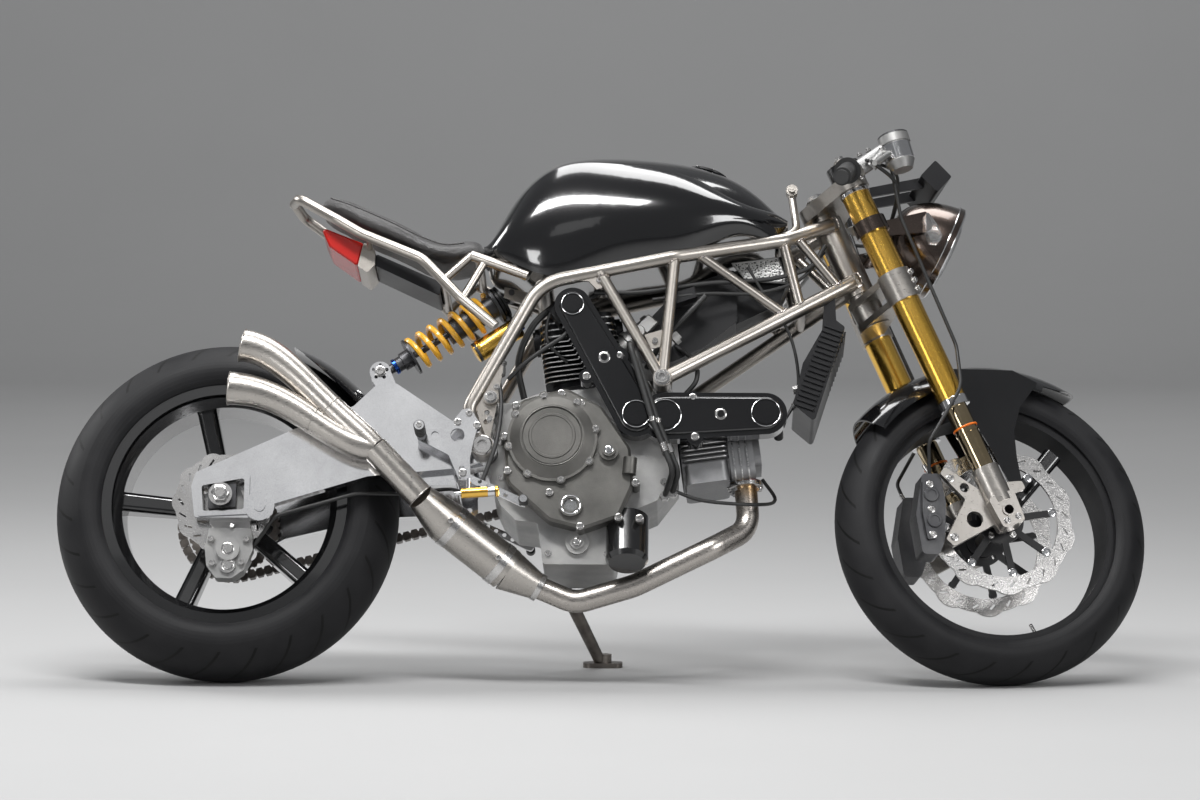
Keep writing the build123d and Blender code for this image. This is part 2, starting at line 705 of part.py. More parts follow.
chain_span = sqrt(SPROCKET_X**2 + (SPROCKET_Z - REAR_TYRE_RADIUS) ** 2)
chain_slope = atan2(SPROCKET_Z - REAR_TYRE_RADIUS, SPROCKET_X)
chain_wrap = asin((REAR_PITCH_RADIUS - FRONT_PITCH_RADIUS) / chain_span)
chain_run = chain_span * cos(chain_wrap)
REAR_ARC = REAR_PITCH_RADIUS * (radians(180) + 2 * chain_wrap)
FRONT_ARC = FRONT_PITCH_RADIUS * (radians(180) - 2 * chain_wrap)
CHAIN_LENGTH = 2 * chain_run + REAR_ARC + FRONT_ARC
LINKS = 2 * round(CHAIN_LENGTH / CHAIN_PITCH / 2)


def chain_place(distance):
    """Place and direction on the chain's pitch line, from the top run's rear end."""
    distance = distance % CHAIN_LENGTH
    up = chain_slope + radians(90) - chain_wrap
    top_angle = chain_slope - chain_wrap
    if distance < chain_run:
        angle = top_angle
        x = REAR_PITCH_RADIUS * cos(up) + distance * cos(angle)
        z = REAR_TYRE_RADIUS + REAR_PITCH_RADIUS * sin(up) + distance * sin(angle)
        return x, z, degrees(angle)
    distance -= chain_run
    if distance < FRONT_ARC:
        angle = up - distance / FRONT_PITCH_RADIUS
        x = SPROCKET_X + FRONT_PITCH_RADIUS * cos(angle)
        z = SPROCKET_Z + FRONT_PITCH_RADIUS * sin(angle)
        return x, z, degrees(angle) - 90
    distance -= FRONT_ARC
    if distance < chain_run:
        down = chain_slope - radians(90) + chain_wrap
        angle = chain_slope + chain_wrap
        x = SPROCKET_X + FRONT_PITCH_RADIUS * cos(down) - distance * cos(angle)
        z = SPROCKET_Z + FRONT_PITCH_RADIUS * sin(down) - distance * sin(angle)
        return x, z, degrees(angle) + 180
    distance -= chain_run
    angle = chain_slope - radians(90) + chain_wrap - distance / REAR_PITCH_RADIUS
    x = REAR_PITCH_RADIUS * cos(angle)
    z = REAR_TYRE_RADIUS + REAR_PITCH_RADIUS * sin(angle)
    return x, z, degrees(angle) - 90


with BuildPart() as chain:
    for parity, half_width in ((0, CHAIN_WIDTH / 2), (1, CHAIN_WIDTH / 2 - 2.5)):
        places = [chain_place((link + 0.5) * CHAIN_LENGTH / LINKS) for link in range(parity, LINKS, 2)]
        with BuildSketch(Plane.XZ.offset(-CHAIN_Y - half_width)):
            with Locations(*[Location((x, z, 0), (0, 0, angle)) for x, z, angle in places]):
                RegularPolygon(LINK_HALF_HEIGHT, 6, major_radius=False)
        extrude(amount=2 * half_width)

# Rear brake caliper on its bracket
with BuildPart() as rear_caliper:
    add(
        side_plate(
            [(-28, 350), (30, 352), (52, 290), (52, 262), (-6, 262), (-24, 280)],
            -ARM_INNER + SEAT_GAP,
            -REAR_DISC_Y - 5,
            4,
            [(0, REAR_TYRE_RADIUS, 18 + SEAT_GAP)],
        )
    )
    body = [(-22, 268), (56, 268), (60, 226), (44, 188), (22, 172), (-8, 172), (-26, 196), (-30, 232)]
    add(side_plate(body, -112, -REAR_DISC_Y - 4, 6))
    add(across(14, 226, -122, -112, 22))
    add(across(14, 196, -118, -112, 15))
    for x, z in ((48, 246), (-18, 246), (40, 202), (-14, 200)):
        add(across(x, z, -117, -112, 7))
    add(
        side_plate(
            [(-20, 214), (54, 214), (44, 188), (22, 172), (-8, 172), (-22, 196)],
            -REAR_DISC_Y - 4,
            -REAR_DISC_Y + 4,
            3,
        )
    )
    add(
        side_plate(
            [(-14, 244), (48, 244), (54, 214), (40, 188), (22, 176), (-8, 176), (-20, 200)],
            -REAR_DISC_Y + 4,
            -62,
            4,
        )
    )
    with BuildSketch(Plane.XZ.offset(REAR_DISC_Y - 5)):
        with Locations((0, REAR_TYRE_RADIUS)):
            Circle(REAR_DISC_RADIUS + 3)
    extrude(amount=10, mode=Mode.SUBTRACT)

# Shock absorber
shock_lower = Vector(SHOCK_LOWER_X, 0, SHOCK_LOWER_Z)
shock_upper = Vector(SHOCK_UPPER_X, 0, SHOCK_UPPER_Z)
shock_axis = (shock_upper - shock_lower).normalized()
SPRING_SEAT = 70
SPRING_TOP = 254
SPRING_START = SPRING_SEAT + SPRING_WIRE + SEAT_GAP
SPRING_END = SPRING_TOP - SPRING_WIRE - SEAT_GAP


def on_shock(distance):
    """A point on the shock's axis, measured from its lower eye."""
    return tuple(shock_lower + shock_axis * distance)


shock_length = (shock_upper - shock_lower).length
with BuildPart() as shock_body:
    add(across(SHOCK_LOWER_X, SHOCK_LOWER_Z, -15, 15, 13))
    add(across(SHOCK_LOWER_X, SHOCK_LOWER_Z, -29, 29, SHOCK_BOLT - SEAT_GAP))
    add(across(SHOCK_UPPER_X, SHOCK_UPPER_Z, -11, 11, 14))
    add(across(SHOCK_UPPER_X, SHOCK_UPPER_Z, -25, 25, SHOCK_BOLT - SEAT_GAP))
    add(rod(on_shock(11), on_shock(60), 9))
    add(rod(on_shock(36), on_shock(48), 14))
    add(rod(on_shock(48), on_shock(66), 18))
    add(rod(on_shock(SPRING_SEAT - 4), on_shock(SPRING_SEAT), 37))
    add(rod(on_shock(60), on_shock(170), 6.5))
    add(rod(on_shock(150), on_shock(shock_length - 36), 22))
    add(rod(on_shock(SPRING_TOP), on_shock(SPRING_TOP + 6), 37))
    add(rod(on_shock(shock_length - 38), on_shock(shock_length - 10), 10.5))
    reservoir_drop = Vector(0.544, 0, -0.839) * 60
    reservoir_start = Vector(*on_shock(176)) + reservoir_drop
    reservoir_end = Vector(*on_shock(SPRING_TOP + 18)) + reservoir_drop
    add(rod(tuple(reservoir_start), tuple(reservoir_end), 20))
    add(rod(on_shock(SPRING_TOP + 10), tuple(Vector(*on_shock(SPRING_TOP + 10)) + reservoir_drop), 8))
with BuildPart() as shock_spring:
    turns = 7
    pitch = (SPRING_END - SPRING_START) / turns
    with BuildLine() as coil:
        Helix(
            pitch,
            SPRING_END - SPRING_START,
            SPRING_RADIUS,
            center=on_shock(SPRING_START),
            direction=shock_axis,
        )
    with BuildSketch(Plane(origin=coil.line @ 0, z_dir=coil.line % 0)):
        RegularPolygon(SPRING_WIRE, 8)
    sweep(path=coil.line, is_frenet=True)
# Engine: crankcase with covers, two finned cylinders at a right angle, and belt covers on the right
CRANKCASE_OUTLINE = [
    (505, 350), (498, 392), (506, 470), (548, 520), (590, 536), (742, 552), (772, 520),
    (
        846, 515
    ), (852, 384), (812, 330), (745, 300), (732, 206), (600, 206), (590, 285), (548, 290), (520, 318),
]
rear_axis = Vector(-sin(radians(CYLINDER_TILT)), 0, cos(radians(CYLINDER_TILT)))
front_axis = Vector(cos(radians(CYLINDER_TILT)), 0, sin(radians(CYLINDER_TILT)))
crank = Vector(CRANK_X, 0, CRANK_Z)


def cylinder_plane(axis, distance):
    """The plane across a cylinder at a distance from the crank, its local X along the machine's Y."""
    return Plane(origin=crank + axis * distance, x_dir=(0, 1, 0), z_dir=axis)


def finned_barrel(axis, start, end, fins):
    """A cylinder barrel with square cooling fins along its axis."""
    with BuildPart() as barrel:
        with BuildSketch(cylinder_plane(axis, start)):
            RectangleRounded(126, 122, 30)
        extrude(amount=end - start)
        for fin in range(fins):
            with BuildSketch(cylinder_plane(axis, start + 8 + fin * FIN_PITCH)):
                RectangleRounded(156, 148, 16)
            extrude(amount=FIN_THICK)
    return barrel.part


LOWER_LUG_HALF = FRAME_HALF - LOWER_BOSS_REACH - SEAT_GAP
with BuildPart() as crankcase:
    with BuildSketch(Plane.XZ.offset(-CRANKCASE_HALF)) as case_face:
        with BuildLine():
            Polyline(*CRANKCASE_OUTLINE, close=True)
        make_face()
        fillet(case_face.vertices(), 7)
    extrude(amount=2 * CRANKCASE_HALF)
    add(across(PIVOT_X + 30, PIVOT_Z - 4, -CRANKCASE_HALF + 6, CRANKCASE_HALF - 6, 30))
    add(across(PIVOT_X, PIVOT_Z, -ARM_OUTER - 2, ARM_OUTER + 2, 27), mode=Mode.SUBTRACT)
    add(side_plate([(788, 505), (852, 505), (836, 566), (804, 566)], -50, 50, 5))
    add(across(LOW_NODE[0], LOW_NODE[2], -LOWER_LUG_HALF, LOWER_LUG_HALF, 12))
    add(across(664, 246, -CRANKCASE_HALF - 8, -CRANKCASE_HALF, 22))
    add(across(664, 246, -CRANKCASE_HALF - 13, -CRANKCASE_HALF - 8, 13))
    add(side_plate([(520, 470), (486, 510), (500, 530), (560, 530)], -50, 50, 5))
    add(across(REAR_MOUNT_X, REAR_MOUNT_Z, -FRAME_HALF + 12 + SEAT_GAP, FRAME_HALF - 12 - SEAT_GAP, 11))
RIGHT_COVER = -CRANKCASE_HALF - 42
COVER_BOLTS = [
    (
        548, 500
    ), (632, 524), (668, 505), (686, 440), (527, 440), (533, 374), (612, 333), (772, 352), (741, 286),
    (670, 268), (780, 284),
]
RIGHT_COVER_OUTLINE = [
    (532, 352), (526, 440), (556, 512), (640, 536), (708, 500),
    (762, 420), (768, 350), (742, 288), (676, 264), (612, 280),
]
with BuildPart() as right_cover:
    add(side_plate(RIGHT_COVER_OUTLINE, RIGHT_COVER, -CRANKCASE_HALF, 22))
    chamfer(right_cover.faces().sort_by(Axis.Y)[0].edges(), 5)
    add(across(652, 308, RIGHT_COVER - 8, RIGHT_COVER, 22, 13))
    add(across(722, 412, RIGHT_COVER - 10, RIGHT_COVER, 18))
    add(across(722, 412, RIGHT_COVER - 16, RIGHT_COVER - 10, 12))
    add(rod((762, RIGHT_COVER - 2, 400), (760, RIGHT_COVER - 2, 368), 13))
    for x, z in COVER_BOLTS:
        add(across(x, z, RIGHT_COVER - 3, -CRANKCASE_HALF, 8))
    add(crankcase.part, mode=Mode.SUBTRACT)
with BuildPart() as clutch_cover:
    add(across(CLUTCH_X, CLUTCH_Z, RIGHT_COVER - 8, RIGHT_COVER, CLUTCH_RADIUS))
    add(
        cone_rod(
            (CLUTCH_X, RIGHT_COVER - 8, CLUTCH_Z),
            (CLUTCH_X, RIGHT_COVER - 20, CLUTCH_Z),
            CLUTCH_RADIUS - 5,
            60,
        )
    )
    add(across(CLUTCH_X, CLUTCH_Z, RIGHT_COVER - 21, RIGHT_COVER - 17, 58, 54), mode=Mode.SUBTRACT)
    with BuildSketch(Plane.XZ.offset(-RIGHT_COVER)):
        with Locations((CLUTCH_X, CLUTCH_Z)):
            with PolarLocations(CLUTCH_RADIUS - 2, 8, 12):
                Circle(9)
    extrude(amount=8)
    add(right_cover.part, mode=Mode.SUBTRACT)
with BuildPart() as left_cover:
    add(across(690, CRANK_Z, CRANKCASE_HALF, CRANKCASE_HALF + 46, 78))
    chamfer(left_cover.faces().sort_by(Axis.Y)[-1].edges(), 8)
    add(
        side_plate(
            [(640, 350), (640, 480), (560, 465), (520, 440), (520, 375), (560, 350)],
            CRANKCASE_HALF,
            CRANKCASE_HALF + 2,
            8,
        )
    )
    add(
        across(
            SPROCKET_X,
            SPROCKET_Z,
            CHAIN_Y - SPROCKET_THICK / 2,
            CHAIN_Y + SPROCKET_THICK / 2,
            FRONT_PITCH_RADIUS - LINK_HALF_HEIGHT - 0.5,
        )
    )
    add(across(SPROCKET_X, SPROCKET_Z, CRANKCASE_HALF, CHAIN_Y + 12, 16))
REAR_BARREL = (150, 240)
FRONT_BARREL = (160, 250)
HEAD = 46


def along_fins(axis, up, start, end, low, high):
    """A barrel with flat fins along its axis, between two heights above that axis."""
    middle = crank + axis * (start + end) / 2
    with BuildPart() as barrel:
        with BuildSketch(cylinder_plane(axis, start)):
            RectangleRounded(122, 118, 26)
        extrude(amount=end - start)
        for fin in range(int((high - low) / FIN_PITCH) + 1):
            with BuildSketch(
                Plane(origin=middle + up * (low + fin * FIN_PITCH), x_dir=(0, 1, 0), z_dir=up)
            ):
                RectangleRounded(158, end - start - 4, 10)
            extrude(amount=FIN_THICK)
        with BuildSketch(Plane(origin=middle - up * 72, x_dir=(0, 1, 0), z_dir=up)):
            RectangleRounded(148, end - start - 8, 14)
        extrude(amount=72 + low - 6)
    return barrel.part


with BuildPart() as cylinders:
    add(finned_barrel(rear_axis, *REAR_BARREL, 9))
    add(along_fins(front_axis, rear_axis, *FRONT_BARREL, -28, 62))
    for axis, up, (start, end) in (
        (rear_axis, -front_axis, REAR_BARREL), (front_axis, rear_axis, FRONT_BARREL)
    ):
        with BuildSketch(cylinder_plane(axis, end)):
            RectangleRounded(148, 134, 22)
        extrude(amount=HEAD)
        with BuildSketch(cylinder_plane(axis, end + HEAD)):
            RectangleRounded(112, 92, 18)
        extrude(amount=14)
        for side in (-1, 1):
            cap = crank + axis * (end + HEAD * 0.45) - up * side * 66
            add(rod(tuple(cap), tuple(cap - up * side * 16), 27))
            add(rod(tuple(cap - up * side * 16), tuple(cap - up * side * 20), 22))
    add(crankcase.part, mode=Mode.SUBTRACT)


def belt_cover(big, small, big_radius, small_radius, side_bosses):
    """A belt cover: a hull round both pulleys, a raised middle, a cap on each pulley and side bosses."""
    face = CRANKCASE_HALF + BELT_COVER_DEPTH
    with BuildPart() as cover:
        for base, height, trim in ((CRANKCASE_HALF, BELT_COVER_DEPTH, 0), (face, 6, 9)):
            with BuildSketch(Plane.XZ.offset(base)):
                with Locations(big):
                    Circle(big_radius - trim)
                with Locations(small):
                    Circle(small_radius - trim)
                make_hull()
            extrude(amount=height)
        fillet(cover.faces().sort_by(Axis.Y)[0].edges(), 4)
        for x, z, radius in side_bosses:
            add(across(x, z, -face - 1, -CRANKCASE_HALF, radius))
            add(across(x, z, -face - 3, -face - 1, radius - 5))
        for (x, z), radius in ((big, big_radius - 15), (small, small_radius - 12)):
            add(across(x, z, -face - 9, -face - 5, radius))
            add(across(x, z, -face - 10, -face - 7, radius - 3, radius - 6), mode=Mode.SUBTRACT)
        add(across(small[0], small[1], -CRANKCASE_HALF, -50, 18))
    return cover.part


BELT_COVER_DEPTH = 34
with BuildPart() as belt_covers:
    add(belt_cover((772, 486), (650, 700), 42, 34, [(740, 600, 17), (678, 560, 14)]))
    add(belt_cover((826, 484), (1014, 490), 46, 40, [(882, 444, 16), (878, 520, 13)]))
    add(right_cover.part, mode=Mode.SUBTRACT)
    add(clutch_cover.part, mode=Mode.SUBTRACT)
    add(cylinders.part, mode=Mode.SUBTRACT)
FILTER_TOP = (757, -84, 296)
FILTER_BOTTOM = (757, -114, 212)
with BuildPart() as oil_filter:
    add(rod(FILTER_TOP, FILTER_BOTTOM, 40))
    add(cone_rod(FILTER_BOTTOM, (757, -117, 203.6), 40, 34))
    add(crankcase.part, mode=Mode.SUBTRACT)
    add(right_cover.part, mode=Mode.SUBTRACT)
with BuildPart() as airbox:
    add(
        side_plate(
            [(746, 604), (800, 700), (850, 755), (960, 795), (960, 690), (900, 640), (840, 610)],
            -62,
            62,
            10,
        )
    )
    add(
        side_plate(
            [(940, 780), (1010, 812), (1062, 790), (1040, 730), (960, 690), (930, 680)], -44, 44, 8
        )
    )
    add(rod((TOP_FRONT[0], 0, 780), (TOP_FRONT[0], 0, TOP_FRONT[2] - BRACE_TUBE / 2 - SEAT_GAP), 9))
with BuildPart() as oil_cooler:
    add(side_plate([(1136, 694), (1164, 672), (1106, 486), (1066, 520), (1084, 600)], -90, 90, 6))
    for side in (-1, 1):
        low, high = sorted((side * 34, side * 46))
        add(side_plate([(1122, 672), (1150, 676), (1146, 744), (1126, 736)], low, high))
        add(
            tube(
                [(x, side * abs(y), z) for x, y, z in (LOW_NODE, LOW_HEAD)], LOWER_TUBE + 2 * SEAT_GAP
            ),
            mode=Mode.SUBTRACT,
        )

# Exhaust
PIPE_RADIUS = 21.5
with BuildPart() as header_pipes:
    add(
        tube(
            [
                (978, -10, 384), (984, -14, 296), (916, -52, 250), (770, -54, 176), (660, -46, 144),
                (592, -46, 173),
            ],
            2 * PIPE_RADIUS,
            [50, 60, 120, 60],
        )
    )
    add(rod((977.5, -9.7, 386), (978.3, -10.3, 378), 31))
    add(cylinders.part, mode=Mode.SUBTRACT)
MERGE = (286, -160, 410)
TAIL_ROWS = [
    # x, y, z, radius along each tail pipe, the last at its outlet
    [(202, -162, 488, 25), (118, -165, 566, 28), (62, -168, 600, 30), (34, -169, 606, 31)],
    [(170, -166, 462, 26), (84, -172, 508, 28), (40, -174, 519, 30), (12, -175, 521, 31)],
]


def tail_pipe(rows, trim):
    """A swelling pipe lofted through circles from the merge to the outlet."""
    centres = [Vector(*MERGE)] + [Vector(*row[:3]) for row in rows]
    sizes = [24] + [row[3] for row in rows]
    with BuildPart() as pipe:
        for index, (centre, size) in enumerate(zip(centres, sizes)):
            before = centres[max(index - 1, 0)]
            after = centres[min(index + 1, len(centres) - 1)]
            with BuildSketch(Plane(origin=centre, z_dir=after - before)):
                Circle(size - trim)
        loft()
    return pipe.part


with BuildPart() as silencer:
    add(cone_rod((592, -46, 173), (532, -62, 204), PIPE_RADIUS + 3, 41.5))
    add(rod((532, -62, 204), (416, -104, 286), 41.5))
    add(cone_rod((416, -104, 286), (372, -146, 322), 41.5, 26))
    add(rod((372, -146, 322), MERGE, 26))
    for rows in TAIL_ROWS:
        add(tail_pipe(rows, 0))
    for rows in TAIL_ROWS:
        start = Vector(*rows[-2][:3])
        end = Vector(*rows[-1][:3])
        out = (end - start).normalized()
        add(
            cone_rod(tuple(start), tuple(end + out), rows[-2][3] - 3, rows[-1][3] - 1.5),
            mode=Mode.SUBTRACT,
        )
    add(header_pipes.part, mode=Mode.SUBTRACT)

# Rear mudguard, on tabs to the swingarm
HUGGER_OUTLINE = [(118, 318), (132, 400), (420, 400), (420, 140), (300, 164), (262, 168), (250, 190)]
HUGGER_TAB = [(262, 500), (262, 530), (292, 534), (292, 504)]
with BuildPart() as hugger:
    with Locations((0, 0, REAR_TYRE_RADIUS)):
        add(mudguard(REAR_TYRE_RADIUS + 20, REAR_TYRE_RADIUS - 16, 96, 3.5, HUGGER_OUTLINE))
    add(side_plate(HUGGER_TAB, -ARM_INNER + SEAT_GAP, -90))
    add(side_plate(HUGGER_TAB, 90, LEFT_ARM_INNER - SEAT_GAP))

# Side stand: the leg hangs on a bracket under the left of the crankcase, its foot flat on the ground
upright = PARKED.inverse()
above_foot = PARKED * Location((STAND_FOOT_X, STAND_FOOT_Y, 95))
FOOT_PLACE = upright * Location((above_foot.position.X, above_foot.position.Y, 0))
stand_leg = FOOT_PLACE.position - Vector(*STAND_HINGE)
FOLDED_LEG = Vector(-1, 0.06, 0.02)
STAND_AXIS = stand_leg.normalized().cross(FOLDED_LEG.normalized()).normalized()
STAND_LUG = 7
STAND_PIN = 6
FOOT_THICK = 9

with BuildPart() as side_stand:
    leg_end = Vector(*STAND_HINGE) + stand_leg * 0.93
    leg_start = Vector(*STAND_HINGE) + stand_leg.normalized() * 15
    add(cone_rod(tuple(leg_start), tuple(leg_end), 13, 11))
    hinge_start = Vector(*STAND_HINGE) - STAND_AXIS * STAND_LUG
    hinge_end = Vector(*STAND_HINGE) + STAND_AXIS * STAND_LUG
    add(rod(tuple(hinge_start), tuple(hinge_end), 16))
    with BuildSketch(Plane(FOOT_PLACE)):
        RectangleRounded(76, 42, 14)
    extrude(amount=FOOT_THICK)
    with BuildSketch(Plane(FOOT_PLACE * Location((0, 0, FOOT_THICK)))):
        Circle(17)
    extrude(amount=16)
    add(
        rod(tuple(hinge_start - STAND_AXIS), tuple(hinge_end + STAND_AXIS), STAND_PIN + 0.05),
        mode=Mode.SUBTRACT,
    )
EAR_THICK = 6
ear_reach = (stand_leg.normalized().rotate(Axis((0, 0, 0), STAND_AXIS), -115)) * 46
with BuildPart() as stand_bracket:
    for side in (-1, 1):
        near = Vector(*STAND_HINGE) + STAND_AXIS * side * (STAND_LUG + 0.6)
        with BuildSketch(Plane(origin=near, x_dir=ear_reach, z_dir=STAND_AXIS * side)):
            SlotCenterPoint((ear_reach.length / 2, 0), (ear_reach.length, 0), 26)
        extrude(amount=EAR_THICK)
    pin_half = STAND_AXIS * (STAND_LUG + EAR_THICK + 2)
    add(rod(tuple(Vector(*STAND_HINGE) - pin_half), tuple(Vector(*STAND_HINGE) + pin_half), STAND_PIN))
    add(
        side_plate(
            [(620, 230), (620, 290), (690, 290), (690, 230)], CRANKCASE_HALF, CRANKCASE_HALF + 6, 8
        )
    )
    add(crankcase.part, mode=Mode.SUBTRACT)

# Foot controls: a bracket each side with a peg, heel guard and lever
REARSET_OUTLINE = [
    (480, 462), (462, 488), (448, 486), (420, 448), (360, 446), (366, 428), (424, 398),
    (444, 352), (466, 350), (464, 392), (470, 424),
]
REARSET_POSTS = ((474, 450), (463, 476))
REARSET_PEDAL = [(446, 366), (452, 350), (560, 298), (572, 300), (566, 312)]
PEDAL_SLOTS = [(484, 344, 4), (500, 335, 4), (516, 327, 4), (532, 318, 4)]
with BuildPart() as rearsets:
    for side in (-1, 1):
        low, high = sorted((side * 156, side * 164))
        add(side_plate(REARSET_OUTLINE, low, high, 5, [(440, 436, 13), (449, 372, 5), (398, 436, 7)]))
        for x, z in REARSET_POSTS:
            low, high = sorted((side * (FRAME_HALF + 8), side * 156))
            add(across(x, z, low, high, 8))
        low, high = sorted((side * 164, side * 232))
        add(across(372, 437, low, high, 9))
        low, high = sorted((side * 164, side * 176))
        add(across(452, 360, low, high, 9))
        low, high = sorted((side * 168, side * 176))
        add(side_plate(REARSET_PEDAL, low, high, 2, PEDAL_SLOTS))
        low, high = sorted((side * 168, side * 208))
        add(across(566, 304, low, high, 7))
    add(rod((450, -172, 322), (512, -172, 326), 9))
    add(rod((438, -172, 321), (450, -172, 322), 4))
    add(rod((463, -172, 326), (463, -172, 350), 5))
    add(frame.part, mode=Mode.SUBTRACT)

# Brake and oil lines
with BuildPart() as engine_hoses:
    for y, shift, rise in ((-149, 0, 0), (-161, -10, 12)):
        route = [
            (768 + shift, -58, 624 + rise), (768 + shift, y, 606 + rise), (812 + shift, y, 470),
            (852 + shift, y, 372), (840 + shift * 1.4, -94, 344 - rise / 2),
        ]
        add(tube(route, 11, [22, 60, 22]))
    rear_brake_hose = [
        (56, -100, 230), (100, -112, 292), (250, -112, 336),
        (330, -86, 342), (424, -96, 350), (452, -172, 325),
    ]
    add(tube(rear_brake_hose, 7, [30, 60, 40, 30]))
    add(rear_caliper.part, mode=Mode.SUBTRACT)
    add(rearsets.part, mode=Mode.SUBTRACT)
    add(crankcase.part, mode=Mode.SUBTRACT)
    add(airbox.part, mode=Mode.SUBTRACT)

# Fork: two legs in clamps, the lower legs carrying the axle and the brakes
with BuildPart() as fork_outers:
    for side in (-1, 1):
        add(
            rod(
                (0, side * FORK_HALF, FORK_OUTER_BOTTOM),
                (0, side * FORK_HALF, FORK_OUTER_TOP),
                FORK_OUTER_RADIUS,
            )
        )
with BuildPart() as fork_inners:
    for side in (-1, 1):
        add(rod((0, side * FORK_HALF, 36), (0, side * FORK_HALF, FORK_OUTER_BOTTOM), FORK_INNER_RADIUS))
        add(rod((0, side * FORK_HALF, 168), (0, side * FORK_HALF, 172), FORK_INNER_RADIUS + 1.5))
LUG_OUTLINE = [
    (26, 34), (20, -30), (-24, -30), (-28, -12), (-120, -24), (-128, -6), (-60, 52), (-84, 116),
    (-70, 124), (-28, 62),
]
with BuildPart() as axle_lugs:
    for side in (-1, 1):
        add(rod((0, side * FORK_HALF, 20), (0, side * FORK_HALF, LUG_TOP), FORK_INNER_RADIUS + 5))
        add(
            side_plate(
                [(26, 34), (22, -30), (-24, -30), (-28, 34)],
                *sorted((side * 86, side * FRONT_AXLE_HALF)),
                8,
            )
        )
        add(side_plate(LUG_OUTLINE, *sorted((side * 92, side * 104)), 5, [(-60, 10, 16), (-52, 74, 9)]))
        add(
            side_plate(
                [(0, 30), (66, 36), (66, 52), (0, 70)],
                *sorted((side * (FENDER_HALF + SEAT_GAP), side * 88)),
                5,
            )
        )
        add(
            rod((0, side * FORK_HALF, 36), (0, side * FORK_HALF, 240), FORK_INNER_RADIUS),
            mode=Mode.SUBTRACT,
        )
    add(across(0, 0, -FRONT_AXLE_HALF - 3, FRONT_AXLE_HALF + 3, FRONT_AXLE_RADIUS, AXLE_BORE_RADIUS))
    for side in (-1, 1):
        low, high = sorted((side * (FRONT_DISC_HALF + 4.5), side * 90))
        add(across(0, 0, low, high, FRONT_AXLE_RADIUS + 4))
    add(across(0, 0, -FRONT_AXLE_HALF - 4, FRONT_AXLE_HALF + 4, AXLE_BORE_RADIUS), mode=Mode.SUBTRACT)
with BuildPart() as fork_clamps:
    with BuildSketch(Plane.XY.offset(LOWER_CLAMP_BOTTOM)):
        with Locations((0, -FORK_HALF), (0, FORK_HALF)):
            Circle(FORK_OUTER_RADIUS + CLAMP_WALL)
    extrude(amount=LOWER_CLAMP_TOP - LOWER_CLAMP_BOTTOM)
    for base in (LOWER_CLAMP_BOTTOM + 2, LOWER_CLAMP_TOP - 14):
        with BuildSketch(Plane.XY.offset(base)):
            with Locations((-14, -FORK_HALF + 14), (-14, FORK_HALF - 14)):
                Circle(18)
            with Locations((-FORK_OFFSET, 0)):
                Circle(32)
            make_hull()
        extrude(amount=12)
    add(rod((-FORK_OFFSET, 0, LOWER_CLAMP_BOTTOM), (-FORK_OFFSET, 0, LOWER_CLAMP_TOP), 30))
    add(rod((-FORK_OFFSET, 0, LOWER_CLAMP_BOTTOM), (-FORK_OFFSET, 0, UPPER_CLAMP_BOTTOM), STEM_RADIUS))
    for low, high in (
        (LOWER_CLAMP_TOP, HEAD_BOTTOM + BEARING_DEPTH), (HEAD_TOP - BEARING_DEPTH, UPPER_CLAMP_BOTTOM)
    ):
        add(rod((-FORK_OFFSET, 0, low), (-FORK_OFFSET, 0, high), HEAD_TUBE_BORE - SEAT_GAP))
    for side in (-1, 1):
        add(
            rod((0, side * FORK_HALF, 440), (0, side * FORK_HALF, 520), FORK_OUTER_RADIUS),
            mode=Mode.SUBTRACT,
        )
    with BuildSketch(Plane.XY.offset(UPPER_CLAMP_BOTTOM)):
        with Locations((0, -FORK_HALF), (0, FORK_HALF)):
            Circle(25 + CLAMP_WALL + 2)
        with Locations((-FORK_OFFSET - 8, 0)):
            Circle(34)
        make_hull()
    extrude(amount=UPPER_CLAMP_TOP - UPPER_CLAMP_BOTTOM)
    for side in (-1, 1):
        add(rod((0, side * FORK_HALF, FORK_OUTER_TOP), (0, side * FORK_HALF, 748), 25))
        add(rod((0, side * FORK_HALF, 748), (0, side * FORK_HALF, 756), 12))
    add(rod((-FORK_OFFSET, 0, UPPER_CLAMP_TOP), (-FORK_OFFSET, 0, UPPER_CLAMP_TOP + 12), 18))

# Handlebars: clip-ons above the upper clamp, with grips, levers and reservoirs
BAR_ROOT = (8, 132, 731)
BAR_END = (-108, 340, 652)
BAR_RADIUS = 11
with BuildPart() as handlebars:
    for side in (-1, 1):
        root = (BAR_ROOT[0], side * BAR_ROOT[1], BAR_ROOT[2])
        end = (BAR_END[0], side * BAR_END[1], BAR_END[2])
        add(rod((0, side * FORK_HALF, UPPER_CLAMP_TOP + 1), (0, side * FORK_HALF, 744), 33))
        add(rod(between(root, end, -0.04), end, BAR_RADIUS))
        add(rod((0, side * FORK_HALF, 710), (0, side * FORK_HALF, 750), 25), mode=Mode.SUBTRACT)
with BuildPart() as grips:
    for side in (-1, 1):
        root = (BAR_ROOT[0], side * BAR_ROOT[1], BAR_ROOT[2])
        end = (BAR_END[0], side * BAR_END[1], BAR_END[2])
        add(rod(between(root, end, 0.46), between(root, end, 0.97), 17, BAR_RADIUS))
        add(rod(between(root, end, 0.43), between(root, end, 0.46), 25, BAR_RADIUS))
        add(rod(between(root, end, 0.97), between(root, end, 1.03), 13))
        add(rod(between(root, end, 0.32), between(root, end, 0.42), 21, BAR_RADIUS))
        add(rod(between(root, end, 0.2), between(root, end, 1.0), BAR_RADIUS), mode=Mode.SUBTRACT)
CUP_RADIUS = 28
